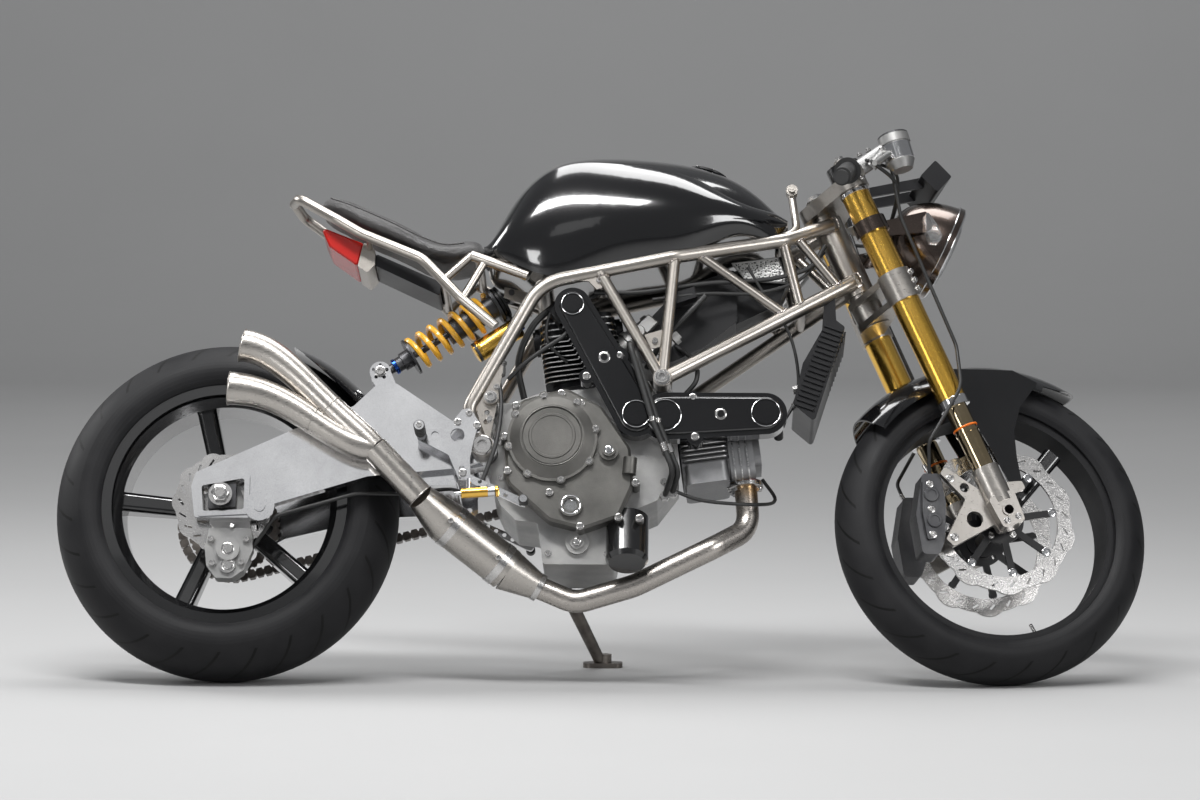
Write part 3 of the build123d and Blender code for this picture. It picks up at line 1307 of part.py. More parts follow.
with BuildPart() as hand_controls:
    for side in (-1, 1):
        add(rod((24, side * 176, 704), (52, side * 192, 716), 11))
        add(tube([(52, side * 192, 716), (46, side * 230, 700), (-44, side * 356, 652)], 10, [40]))
        add(rod((6, side * 160, 712), (66, side * 160, 728), 16))
        add(cone_rod((84, side * 166, 680), (86.5, side * 166, 696), 20, CUP_RADIUS))
        add(rod((86.5, side * 166, 696), (92.125, side * 166, 732), CUP_RADIUS))
        add(rod((92.125, side * 166, 732), (94.625, side * 166, 748), CUP_RADIUS + 2))
        add(rod((60, side * 162, 704), (84, side * 166, 700), 8))
    add(handlebars.part, mode=Mode.SUBTRACT)

# Headlight bowl, its lens and brackets
lamp_plane = Plane(FORK.inverse() * Location((1352, 0, 866), (0, 90 + 23, 0)))
with BuildPart() as headlight:
    with BuildSketch(lamp_plane):
        Circle(92)
    with BuildSketch(lamp_plane.offset(-40)):
        Circle(84)
    with BuildSketch(lamp_plane.offset(-84)):
        Circle(58)
    with BuildSketch(lamp_plane.offset(-102)):
        Circle(22)
    loft()
    with BuildSketch(lamp_plane):
        Circle(95)
    extrude(amount=12)
    for side in (-1, 1):
        add(
            side_plate(
                [(14, 596), (14, 624), (126, 612), (132, 574), (104, 574)],
                *sorted((side * 79, side * 85)),
                4,
            )
        )
        add(rod((0, side * FORK_HALF, 596), (0, side * FORK_HALF, 624), FORK_OUTER_RADIUS + 6))
        add(
            rod((0, side * FORK_HALF, 590), (0, side * FORK_HALF, 630), FORK_OUTER_RADIUS + SEAT_GAP),
            mode=Mode.SUBTRACT,
        )
with BuildPart() as headlight_lens:
    with BuildSketch(lamp_plane.offset(12)):
        Circle(88)
    with BuildSketch(lamp_plane.offset(22)):
        Circle(60)
    loft()
    for side in (-1, 1):
        with BuildSketch(Plane.XZ.offset(-side * 74)) as lamp_face:
            with BuildLine():
                Polyline(
                    (122, 614), (104, 570), (104, 548), (118, 542), (130, 552), (130, 578), close=True
                )
            make_face()
            fillet(lamp_face.vertices(), 4)
        extrude(amount=-side * 24)
    add(headlight.part, mode=Mode.SUBTRACT)
with BuildPart() as instrument:
    add(side_plate([(158, 690), (200, 710), (216, 668), (176, 648)], -62, 62, 4))
    clamp_front = 25 + CLAMP_WALL + 2 + SEAT_GAP
    for side in (-1, 1):
        add(
            side_plate(
                [(clamp_front, 694), (clamp_front, 712), (166, 694), (172, 672)],
                *sorted((side * 30, side * 36)),
            )
        )

# Front mudguard with a blade each side down to the axle lug
FENDER_OUTLINE = [
    (0, 0), (
        -148, 262
    ), (-160, 300), (-60, 400), (120, 400), (300, 200), (268, 186), (226, 196), (196, 214),
]
FENDER_BLADE = [
    (28, 262), (40, 304), (
        150, 262
    ), (186, 222), (132, 190), (100, 150), (82, 100), (72, 60), (66, 36), (46, 36), (44, 110),
]
with BuildPart() as front_fender:
    add(mudguard(FRONT_TYRE_RADIUS + 27, FRONT_TYRE_RADIUS - 22, FENDER_HALF - 1, 3.5, FENDER_OUTLINE))
    for side in (-1, 1):
        add(
            side_plate(
                FENDER_BLADE, *sorted((side * (FENDER_HALF - 4), side * FENDER_HALF)), 3, [(58, 46, 3)]
            )
        )

# Front calipers and brake hoses
with BuildPart() as front_calipers:
    for side in (-1, 1):
        outline = [(-112, 130), (-80, 118), (-94, 60), (-128, -6), (-148, -26), (-178, -14), (-158, 60)]
        add(side_plate(outline, *sorted((side * 44, side * 92)), 8))
        low, high = sorted((side * 92, side * 99))
        add(
            side_plate(
                [(-120, 116), (-98, 108), (-112, 58), (-142, 2), (-160, 6), (-146, 60)], low, high, 5
            )
        )
        with BuildSketch(Plane.XZ.offset(-side * FRONT_DISC_HALF - 5)):
            Circle(FRONT_DISC_RADIUS + 4)
        extrude(amount=10, mode=Mode.SUBTRACT)
    add(axle_lugs.part, mode=Mode.SUBTRACT)
with BuildPart() as front_brake_hoses:
    for side in (-1, 1):
        route = [
            (68, 162, 699), (50, 140, 600), (44, 132, 330), (14, 142, 250), (-84, 118, 176),
            (-98, 84, 122),
        ]
        add(tube([(u, side * v, w) for u, v, w in route], 7, [40, 60, 60, 30]))
    add(front_calipers.part, mode=Mode.SUBTRACT)
    add(hand_controls.part, mode=Mode.SUBTRACT)

PIECES = [
    ("frame", frame, PARKED),
    ("subframe", subframe, PARKED),
    ("tank", tank, PARKED),
    ("seat", seat, PARKED),
    ("tail_lens", tail_lens, PARKED),
    ("tail_unit", tail_unit, PARKED),
    ("swingarm", swingarm, PARKED),
    ("rear_axle", rear_axle, PARKED),
    ("rear_tyre", rear_tyre, PARKED * REAR_WHEEL * AXLE_UP),
    ("rear_rim", rear_rim, PARKED * REAR_WHEEL * AXLE_UP),
    ("rear_disc", rear_disc, PARKED * REAR_WHEEL * AXLE_UP),
    ("rear_sprocket", rear_sprocket, PARKED * REAR_WHEEL * AXLE_UP),
    ("chain", chain, PARKED),
    ("rear_caliper", rear_caliper, PARKED),
    ("shock_body", shock_body, PARKED),
    ("shock_spring", shock_spring, PARKED),
    ("crankcase", crankcase, PARKED),
    ("right_cover", right_cover, PARKED),
    ("clutch_cover", clutch_cover, PARKED),
    ("left_cover", left_cover, PARKED),
    ("cylinders", cylinders, PARKED),
    ("belt_covers", belt_covers, PARKED),
    ("oil_filter", oil_filter, PARKED),
    ("airbox", airbox, PARKED),
    ("oil_cooler", oil_cooler, PARKED),
    ("header_pipes", header_pipes, PARKED),
    ("silencer", silencer, PARKED),
    ("hugger", hugger, PARKED),
    ("side_stand", side_stand, PARKED),
    ("stand_bracket", stand_bracket, PARKED),
    ("rearsets", rearsets, PARKED),
    ("engine_hoses", engine_hoses, PARKED),
    ("fork_outers", fork_outers, STEERED_PLACE),
    ("fork_inners", fork_inners, STEERED_PLACE),
    ("axle_lugs", axle_lugs, STEERED_PLACE),
    ("fork_clamps", fork_clamps, STEERED_PLACE),
    ("handlebars", handlebars, STEERED_PLACE),
    ("grips", grips, STEERED_PLACE),
    ("hand_controls", hand_controls, STEERED_PLACE),
    ("headlight", headlight, STEERED_PLACE),
    ("headlight_lens", headlight_lens, STEERED_PLACE),
    ("instrument", instrument, STEERED_PLACE),
    ("front_fender", front_fender, STEERED_PLACE),
    ("front_calipers", front_calipers, STEERED_PLACE),
    ("front_brake_hoses", front_brake_hoses, STEERED_PLACE),
    ("front_tyre", front_tyre, STEERED_PLACE * AXLE_UP),
    ("front_rim", front_rim, STEERED_PLACE * AXLE_UP),
    ("front_discs", front_discs, STEERED_PLACE * AXLE_UP),
    ("disc_carriers", disc_carriers, STEERED_PLACE * AXLE_UP),
]
for name, builder, place in PIECES:
    piece = builder.part.moved(place)
    piece.label = name
    export_step(piece, f"parts/{name}.step")
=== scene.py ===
from math import cos, pi, radians, sin

import bmesh
import bpy
from mathutils import Matrix, Vector


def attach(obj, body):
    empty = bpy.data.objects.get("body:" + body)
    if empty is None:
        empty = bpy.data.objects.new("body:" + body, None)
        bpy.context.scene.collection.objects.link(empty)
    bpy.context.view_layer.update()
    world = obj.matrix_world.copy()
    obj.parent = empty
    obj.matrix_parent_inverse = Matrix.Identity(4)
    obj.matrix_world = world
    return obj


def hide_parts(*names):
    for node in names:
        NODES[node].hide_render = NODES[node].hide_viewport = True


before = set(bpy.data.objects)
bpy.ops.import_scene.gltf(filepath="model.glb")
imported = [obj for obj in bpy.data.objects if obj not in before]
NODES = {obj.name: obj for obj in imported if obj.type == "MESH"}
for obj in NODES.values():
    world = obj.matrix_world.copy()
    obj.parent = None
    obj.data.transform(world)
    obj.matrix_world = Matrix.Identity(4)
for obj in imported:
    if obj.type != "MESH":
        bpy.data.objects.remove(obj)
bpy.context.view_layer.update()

# Materials

# The colour sockets of a Mix node, which share their names with its other sockets
MIX_FIRST, MIX_SECOND, MIX_RESULT = 6, 7, 2


class Nodes:
    """A short way to build a material's node tree. Lengths are in metres."""

    def __init__(self, name):
        self.material = bpy.data.materials.new(name)
        self.material.use_nodes = True
        self.tree = self.material.node_tree
        self.shader = self.tree.nodes["Principled BSDF"]
        self.place = self.add("ShaderNodeTexCoord").outputs["Object"]

    def add(self, kind, **values):
        node = self.tree.nodes.new(kind)
        for key, value in values.items():
            setattr(node, key, value)
        return node

    def link(self, start, end):
        self.tree.links.new(start, end)

    def set(self, **values):
        """Plain numbers and colours for the shader's sockets."""
        for key, value in values.items():
            self.shader.inputs[key.replace("_", " ")].default_value = value

    def feed(self, socket, output):
        """Links an output to one of the shader's sockets."""
        self.link(output, self.shader.inputs[socket])

    def math(self, kind, *values):
        """A math node between plain numbers or other nodes' outputs."""
        node = self.add("ShaderNodeMath", operation=kind)
        for socket, value in zip(node.inputs, values):
            if isinstance(value, (int, float)):
                socket.default_value = value
            else:
                self.link(value, socket)
        return node.outputs[0]

    def vector_math(self, kind, start, vector, result="Value"):
        """A vector math node between an output and a fixed vector."""
        node = self.add("ShaderNodeVectorMath", operation=kind)
        self.link(start, node.inputs[0])
        node.inputs[1].default_value = vector
        return node.outputs[result]

    def mix(self, factor, first, second):
        """A colour between two, each an output or a plain colour."""
        node = self.add("ShaderNodeMix", data_type="RGBA")
        self.link(factor, node.inputs["Factor"])
        for index, color in ((MIX_FIRST, first), (MIX_SECOND, second)):
            if isinstance(color, tuple):
                node.inputs[index].default_value = (*color, 1)
            else:
                self.link(color, node.inputs[index])
        return node.outputs[MIX_RESULT]

    def noise(self, scale, detail, stretch=(1, 1, 1)):
        where = self.add("ShaderNodeMapping")
        where.inputs["Scale"].default_value = stretch
        self.link(self.place, where.inputs["Vector"])
        noise = self.add("ShaderNodeTexNoise")
        noise.inputs["Scale"].default_value = scale
        noise.inputs["Detail"].default_value = detail
        noise.inputs["Roughness"].default_value = 0.55
        self.link(where.outputs["Vector"], noise.inputs["Vector"])
        return noise.outputs["Fac"]

    def cells(self, scale):
        """Distance from the middles of scattered cells."""
        cells = self.add("ShaderNodeTexVoronoi")
        cells.inputs["Scale"].default_value = scale
        self.link(self.place, cells.inputs["Vector"])
        return cells.outputs["Distance"]

    def ramp(self, factor, stops):
        """A colour from rows of (position, colour)."""
        ramp = self.add("ShaderNodeValToRGB")
        elements = ramp.color_ramp.elements
        while len(elements) < len(stops):
            elements.new(0.5)
        for element, (position, color) in zip(elements, stops):
            element.position = position
            element.color = (*color, 1)
        self.link(factor, ramp.inputs["Fac"])
        return ramp.outputs["Color"]

    def span(self, noise, low, high):
        """A noise's usual range spread from low to high."""
        limit = self.add("ShaderNodeMapRange")
        limits = {"From Min": 0.3, "From Max": 0.7, "To Min": low, "To Max": high}
        for socket, value in limits.items():
            limit.inputs[socket].default_value = value
        self.link(noise, limit.inputs["Value"])
        return limit.outputs["Result"]

    def bump(self, height, strength, distance, before=None):
        """Relief on the shader, over an earlier relief if there is one."""
        bump = self.add("ShaderNodeBump")
        bump.inputs["Strength"].default_value = strength
        bump.inputs["Distance"].default_value = distance
        self.link(height, bump.inputs["Height"])
        if before is not None:
            self.link(before, bump.inputs["Normal"])
        self.feed("Normal", bump.outputs["Normal"])
        return bump.outputs["Normal"]


def added(name, data):
    """A new object in the scene."""
    thing = bpy.data.objects.new(name, data)
    bpy.context.scene.collection.objects.link(thing)
    return thing


def scaled(color, factor):
    return tuple(c * factor for c in color)


def lifted(color, amount):
    return tuple(c + amount for c in color)


def metal(
    name, low, high, rough, spread=0.06, grain=260, bump=0.05, blotch=9, stretch=(1, 1, 1), coat=0.0
):
    """A bare or plated metal with fine grain, uneven polish and faint stains."""
    m = Nodes(name)
    m.set(Metallic=1.0)
    m.feed("Base Color", m.ramp(m.noise(blotch, 5), [(0.3, low), (0.7, high)]))
    fine = m.noise(grain, 3, stretch)
    m.feed("Roughness", m.span(fine, max(rough - spread, 0.02), rough + spread))
    m.bump(fine, bump, 0.0006)
    if coat:
        m.set(Coat_Weight=coat, Coat_Roughness=0.06)
    return m.material


def coated(name, color, rough, dust=(0.05, 0.05, 0.05), bump=0.03, coat=0.0, mottle=0.35):
    """A paint or plastic with a fine orange-peel surface and a trace of dust."""
    m = Nodes(name)
    shade = m.noise(5, 6)
    dusty = tuple(c + mottle * d for c, d in zip(color, dust))
    m.feed("Base Color", m.ramp(shade, [(0.35, color), (0.85, dusty)]))
    m.feed("Roughness", m.span(shade, rough * 0.8, rough * 1.25))
    m.bump(m.noise(420, 2), bump, 0.0005)
    if coat:
        m.set(Coat_Weight=coat, Coat_Roughness=0.035)
    else:
        m.set(Specular_IOR_Level=0.28)
    return m.material


def pitted(m, rough, bump):
    """The surface that casting sand or bead blasting leaves."""
    pits = m.noise(520, 4)
    m.feed("Roughness", m.span(pits, rough - 0.1, rough + 0.1))
    m.bump(pits, bump, 0.0008)


def sandcast(name, low, high, bump=0.35):
    """Cast or bead-blasted alloy with a fine pitted surface."""
    m = Nodes(name)
    m.set(Metallic=0.85)
    m.feed("Base Color", m.ramp(m.noise(14, 6), [(0.3, low), (0.72, high)]))
    pitted(m, 0.42, bump)
    return m.material


def two_tone(name, split, first, second, rough):
    """Bead-blasted alloy, black behind a place along the machine and bare in front of it."""
    m = Nodes(name)
    m.set(Metallic=0.8)
    parts = m.add("ShaderNodeSeparateXYZ")
    m.link(m.place, parts.inputs[0])
    ahead = m.math("GREATER_THAN", parts.outputs["X"], split)
    stains = m.noise(14, 6)
    dark = m.ramp(stains, [(0.3, first), (0.75, scaled(first, 1.6))])
    bare = m.ramp(stains, [(0.3, second), (0.75, scaled(second, 1.35))])
    m.feed("Base Color", m.mix(ahead, dark, bare))
    pitted(m, rough, 0.35)
    return m.material


def rubber(name, color, rough, dust):
    m = Nodes(name)
    shade = m.noise(11, 6)
    m.feed("Base Color", m.ramp(shade, [(0.4, color), (0.9, lifted(color, dust))]))
    m.feed("Roughness", m.span(shade, rough - 0.1, rough + 0.12))
    m.bump(m.noise(700, 3), 0.15, 0.0004)
    return m.material


GROOVE_WIDTH = 0.045  # share of the way from one groove to the next, on either side
GROOVE_SLANT = 1.15  # pitches that a groove sweeps from the crown to the edge
RIB_WAVE = 900  # radians of the sidewall's ribs for each metre of radius


def tyre(name, centre, axle, outer, half_width, grooves):
    """Tyre rubber with ribs on the sidewall and slanted grooves in the tread, laid out about the axle. The
    grooves are painted darker than the tread: painted shade in the recesses.
    """
    m = Nodes(name)
    away = m.vector_math("SUBTRACT", m.place, centre, "Vector")
    axis = Vector(axle).normalized()
    first = axis.cross(Vector((0, 0, 1))).normalized()
    second = axis.cross(first)
    along, ahead, above = (m.vector_math("DOT_PRODUCT", away, way) for way in (axis, first, second))

    side = m.math("ABSOLUTE", along)
    squares = m.math("ADD", m.math("MULTIPLY", ahead, ahead), m.math("MULTIPLY", above, above))
    radius = m.math("SQRT", squares)
    turns = m.math("MULTIPLY", m.math("ARCTAN2", above, ahead), grooves / (2 * pi))
    sweep = m.math("MULTIPLY", m.math("DIVIDE", side, half_width), GROOVE_SLANT)
    pitch = m.math("FRACT", m.math("ADD", turns, sweep))
    groove = m.math("LESS_THAN", m.math("ABSOLUTE", m.math("SUBTRACT", pitch, 0.5)), GROOVE_WIDTH)
    band = m.math(
        "MULTIPLY",
        m.math("LESS_THAN", side, half_width * 0.86),
        m.math("GREATER_THAN", side, half_width * 0.12),
    )
    tread = m.math("MULTIPLY", band, m.math("GREATER_THAN", radius, outer * 0.86))
    cut = m.math("MULTIPLY", groove, tread)
    wave = m.math("SINE", m.math("MULTIPLY", radius, RIB_WAVE))
    wall = m.math("LESS_THAN", radius, outer * 0.83)
    ribs = m.math("MULTIPLY", wall, m.math("GREATER_THAN", wave, 0.2))

    black = (0.008, 0.008, 0.009)
    shade = m.noise(11, 6)
    worn = m.ramp(shade, [(0.4, black), (0.9, lifted(black, 0.012))])
    # The grooves get a darker colour than the tread: painted shade in the recesses, over the grooves' real
    # relief.
    m.feed("Base Color", m.mix(cut, worn, (0.0015, 0.0015, 0.0015)))
    m.feed("Roughness", m.span(shade, 0.5, 0.68))
    m.set(Specular_IOR_Level=0.22)
    height = m.math("ADD", m.math("MULTIPLY", cut, -1.0), m.math("MULTIPLY", ribs, 0.12))
    m.bump(height, 0.6, 0.003, m.bump(m.noise(700, 3), 0.15, 0.0004))
    return m.material


def leather(name):
    """Black grained leather: rounded cells with fine creases."""
    m = Nodes(name)
    tone = m.noise(7, 5)
    m.feed("Base Color", m.ramp(tone, [(0.3, (0.012, 0.011, 0.011)), (0.8, (0.028, 0.026, 0.026))]))
    m.feed("Roughness", m.span(tone, 0.34, 0.5))
    m.bump(m.noise(60, 6), 0.25, 0.002, m.bump(m.cells(420), 0.4, 0.0012))
    m.set(Sheen_Weight=0.15)
    return m.material


def glass(name, color, rough, transmission):
    m = Nodes(name)
    m.set(Base_Color=(*color, 1), Roughness=rough, IOR=1.45, Transmission_Weight=transmission)
    m.bump(m.noise(90, 2), 0.05, 0.0005)
    return m.material


def wire_mesh(name):
    """Woven wire: bright knots, its own colour, between holes painted near black as painted shade seen
    through the openings.
    """
    m = Nodes(name)
    m.set(Metallic=0.9, Roughness=0.4)
    holes = m.cells(260)
    # The wire keeps its own bright colour; the holes are painted near black: painted shade behind the mesh.
    m.feed("Base Color", m.ramp(holes, [(0.25, (0.02, 0.02, 0.02)), (0.5, (0.42, 0.42, 0.41))]))
    m.bump(holes, 0.6, 0.001)
    return m.material


# Heat tints from the hottest place outwards: blue-grey, blue, violet and straw
HEAT_TINTS = [
    (0.12, (0.20, 0.19, 0.22)), (0.28, (0.10, 0.13, 0.30)), (0.42, (0.24, 0.13, 0.26)),
    (0.56, (0.42, 0.27, 0.13)),
]


def heated(name, spots, low, high, rough):
    """Titanium with heat tints that fade away from hot spots, each a (place, reach)."""
    m = Nodes(name)
    m.set(Metallic=1.0)
    near = None
    for place, reach in spots:
        share = m.math("DIVIDE", m.vector_math("DISTANCE", m.place, place), reach)
        near = share if near is None else m.math("MINIMUM", near, share)
    waver = m.math("MULTIPLY_ADD", m.noise(16, 4), 0.3, near)
    m.feed("Base Color", m.ramp(waver, HEAT_TINTS + [(0.78, low), (1.0, high)]))
    fine = m.noise(600, 3, (0.15, 1, 1))
    m.feed("Roughness", m.span(fine, rough - 0.07, rough + 0.07))
    m.bump(fine, 0.08, 0.0005)
    return m.material


# Metals: name, darkest and lightest colour, roughness and its spread, scale of the grain, relief,
# scale of the stains, and for some the grain's stretch or a clear coat
TITANIUM = metal("titanium", (0.34, 0.315, 0.285), (0.47, 0.44, 0.405), 0.33, 0.07, 900, 0.08, 6)
BRUSHED = metal(
    "brushed_titanium", (0.34, 0.32, 0.295), (0.46, 0.435, 0.405), 0.34, 0.08, 600, 0.1, 5, (0.15, 1, 1)
)
POLISHED = metal("polished_alloy", (0.62, 0.62, 0.63), (0.80, 0.80, 0.81), 0.13, 0.05, 500, 0.03, 8)
MILLED = metal("milled_alloy", (0.50, 0.50, 0.50), (0.66, 0.66, 0.66), 0.27, 0.06, 420, 0.07, 9, (1, 1, 4))
STEEL = metal("ground_steel", (0.50, 0.49, 0.48), (0.66, 0.65, 0.64), 0.22, 0.07, 380, 0.1, 12)
CHROME = metal("chrome", (0.62, 0.62, 0.62), (0.76, 0.76, 0.76), 0.06, 0.03, 300, 0.01, 10)
NITRIDE = metal("nitride_chrome", (0.42, 0.33, 0.20), (0.60, 0.50, 0.34), 0.12, 0.04, 300, 0.01, 6)
GOLD = metal("gold_anodised", (0.80, 0.47, 0.075), (0.90, 0.56, 0.12), 0.24, 0.04, 600, 0.03, 4, coat=0.2)
DARK_STEEL = metal("oiled_steel", (0.09, 0.08, 0.075), (0.22, 0.20, 0.18), 0.38, 0.1, 200, 0.15, 30)
BRONZE = metal(
    "gunmetal_paint", (0.085, 0.065, 0.055), (0.13, 0.10, 0.085), 0.24, 0.04, 900, 0.04, 5, coat=0.6
)
WELD = metal("weld_bead", (0.26, 0.24, 0.25), (0.52, 0.47, 0.40), 0.32, 0.1, 500, 0.15, 60)
BLUE = metal("blue_anodised", (0.02, 0.07, 0.32), (0.04, 0.12, 0.45), 0.25, 0.05, 500)

OUTLETS = [((-0.72, -0.35, 0.62), 0.07), ((-0.72, -0.36, 0.55), 0.07)]
HOT = heated("heated_titanium", OUTLETS, (0.34, 0.32, 0.295), (0.46, 0.435, 0.405), 0.32)
FRONT_PORT = [((0.272, -0.13, 0.42), 0.15)]
PIPES = heated("header_titanium", FRONT_PORT, (0.34, 0.31, 0.28), (0.46, 0.43, 0.40), 0.3)
SPLIT = 0.085  # a place between the two cylinders
CYLINDERS = two_tone("barrel_finish", SPLIT, (0.012, 0.012, 0.013), (0.24, 0.24, 0.245), 0.46)
CAST = sandcast("cast_alloy", (0.25, 0.25, 0.25), (0.40, 0.395, 0.385))
CAST_DARK = sandcast("cast_dark", (0.055, 0.055, 0.06), (0.11, 0.11, 0.112))
MAGNESIUM = sandcast("magnesium", (0.10, 0.098, 0.092), (0.17, 0.165, 0.155), bump=0.3)
BLACK_GLOSS = coated("black_lacquer", (0.0035, 0.0035, 0.004), 0.14, coat=0.9, bump=0.012, mottle=0.02)
BLACK_RIM = coated("black_rim_paint", (0.004, 0.004, 0.0045), 0.2, coat=0.8, bump=0.02, mottle=0.03)
BLACK_SATIN = coated("black_satin", (0.010, 0.010, 0.011), 0.36, bump=0.12, mottle=0.1)
YELLOW = coated("yellow_enamel", (0.80, 0.40, 0.018), 0.3, dust=(0.1, 0.1, 0.05), coat=0.5, mottle=0.4)
ORANGE = coated("orange_ring", (0.75, 0.16, 0.01), 0.4)
REAR_TREAD = tyre(
    "rear_tyre_rubber", (-0.704389, -0.144587, 0.312316), (0, 0.9466, -0.3223),
    outer=0.324, half_width=0.094, grooves=26,
)
FRONT_TREAD = tyre(
    "front_tyre_rubber", (0.734583, -0.146969, 0.279796), (-0.2137, 0.8902, -0.4022),
    outer=0.300, half_width=0.059, grooves=24,
)
RUBBER = rubber("soft_rubber", (0.012, 0.012, 0.012), 0.5, 0.01)
LEATHER = leather("grained_leather")
MESH = wire_mesh("intake_wire")
RED_LENS = glass("red_lens", (0.55, 0.02, 0.015), 0.12, 0.35)
CLEAR = glass("clear_lens", (0.93, 0.95, 0.96), 0.03, 0.9)

# What each finish is on
FINISHES = (
    (TITANIUM, "frame subframe"),
    (BLACK_GLOSS, "tank belt_covers hugger front_fender"),
    (BLACK_SATIN, "tail_unit airbox oil_cooler instrument disc_carriers"),
    (BLACK_RIM, "rear_rim front_rim oil_filter handlebars"),
    (CAST, "crankcase rear_caliper hand_controls"),
    (CAST_DARK, "left_cover rear_axle shock_body front_calipers"),
    (MAGNESIUM, "right_cover clutch_cover"),
    (CYLINDERS, "cylinders"),
    (POLISHED, "swingarm rearsets"),
    (BRUSHED, "axle_lugs fork_clamps"),
    (STEEL, "rear_disc front_discs"),
    (DARK_STEEL, "rear_sprocket chain side_stand stand_bracket"),
    (RUBBER, "grips engine_hoses front_brake_hoses"),
    (LEATHER, "seat"), (YELLOW, "shock_spring"), (PIPES, "header_pipes"), (HOT, "silencer"),
    (GOLD, "fork_outers"), (NITRIDE, "fork_inners"), (BRONZE, "headlight"),
    (CLEAR, "headlight_lens"), (RED_LENS, "tail_lens"),
    (REAR_TREAD, "rear_tyre"), (FRONT_TREAD, "front_tyre"),
)
for finish, names in FINISHES:
    for name in names.split():
        NODES[name].data.materials.clear()
        NODES[name].data.materials.append(finish)

# Frames of the design, in millimetres: X forward from the rear axle, Y left, Z up from the ground


def shift(x, y, z):
    return Matrix.Translation((x, y, z))


def turn(axis, angle):
    return Matrix.Rotation(radians(angle), 4, axis)


LEAN, PITCH = -18.8, 0.28494  # degrees, of the parked machine on its stand
RAKE, STEER = 24, 13.5  # degrees, of the steering axis and of the bars about it
AXIS_FOOT = 1535  # where the steering axis meets the ground
REAR_AXLE_HEIGHT, FRONT_AXLE_HEIGHT = 324, 300
WHEELBASE = 1440
MILLIMETRE = 0.001

PARKED = shift(-706, -249, 5.6056) @ turn("X", LEAN) @ turn("Y", PITCH)
STEERED = (
    PARKED @ shift(AXIS_FOOT, 0, 0) @ turn("Y", -RAKE) @ turn("Z", STEER)
    @ turn("Y", RAKE) @ shift(-AXIS_FOOT, 0, 0)
)
FORK = STEERED @ shift(WHEELBASE, 0, FRONT_AXLE_HEIGHT) @ turn("Y", -RAKE)
LAMP = STEERED @ shift(1352, 0, 866) @ turn("Y", 113)
# A wheel's own Z axis points left
FRAMES = {
    "chassis": PARKED,
    "rear_wheel": PARKED @ shift(0, 0, REAR_AXLE_HEIGHT) @ turn("X", -90),
    "fork": FORK,
    "front_wheel": FORK @ turn("X", -90),
}

RIGHT, LEFT, UP, DOWN = (Vector(way) for way in ((0, -1, 0), (0, 1, 0), (0, 0, 1), (0, 0, -1)))


def square_to(axis):
    """Two unit vectors across an axis."""
    axis = axis.normalized()
    helper = Vector((0, 0, 1)) if abs(axis.z) < 0.8 else Vector((1, 0, 0))
    side = axis.cross(helper).normalized()
    return side, axis.cross(side).normalized()


def circle(middle, side, up, radius, count):
    """Points evenly round a circle, in the plane of two unit vectors."""
    angles = [2 * pi * i / count for i in range(count)]
    return [middle + radius * (cos(angle) * side + sin(angle) * up) for angle in angles]


def spread_round(radius, count, first, z):
    """Places evenly round the Z axis, the first one at an angle in degrees."""
    angles = [radians(360 / count * i + first) for i in range(count)]
    return [(radius * cos(angle), radius * sin(angle), z) for angle in angles]


def smooth_path(points, steps):
    """Points of a smooth curve through the given ones."""
    rows = [Vector(p) for p in points]
    if len(rows) < 3:
        return rows
    ends = [2 * rows[0] - rows[1]] + rows + [2 * rows[-1] - rows[-2]]
    out = []
    for a, b, c, d in zip(ends, ends[1:], ends[2:], ends[3:]):
        slope, bend, twist = c - a, 2 * a - 5 * b + 4 * c - d, 3 * b - a - 3 * c + d
        for step in range(steps):
            t = step / steps
            out.append(0.5 * (2 * b + slope * t + bend * t * t + twist * t**3))
    return out + [rows[-1]]


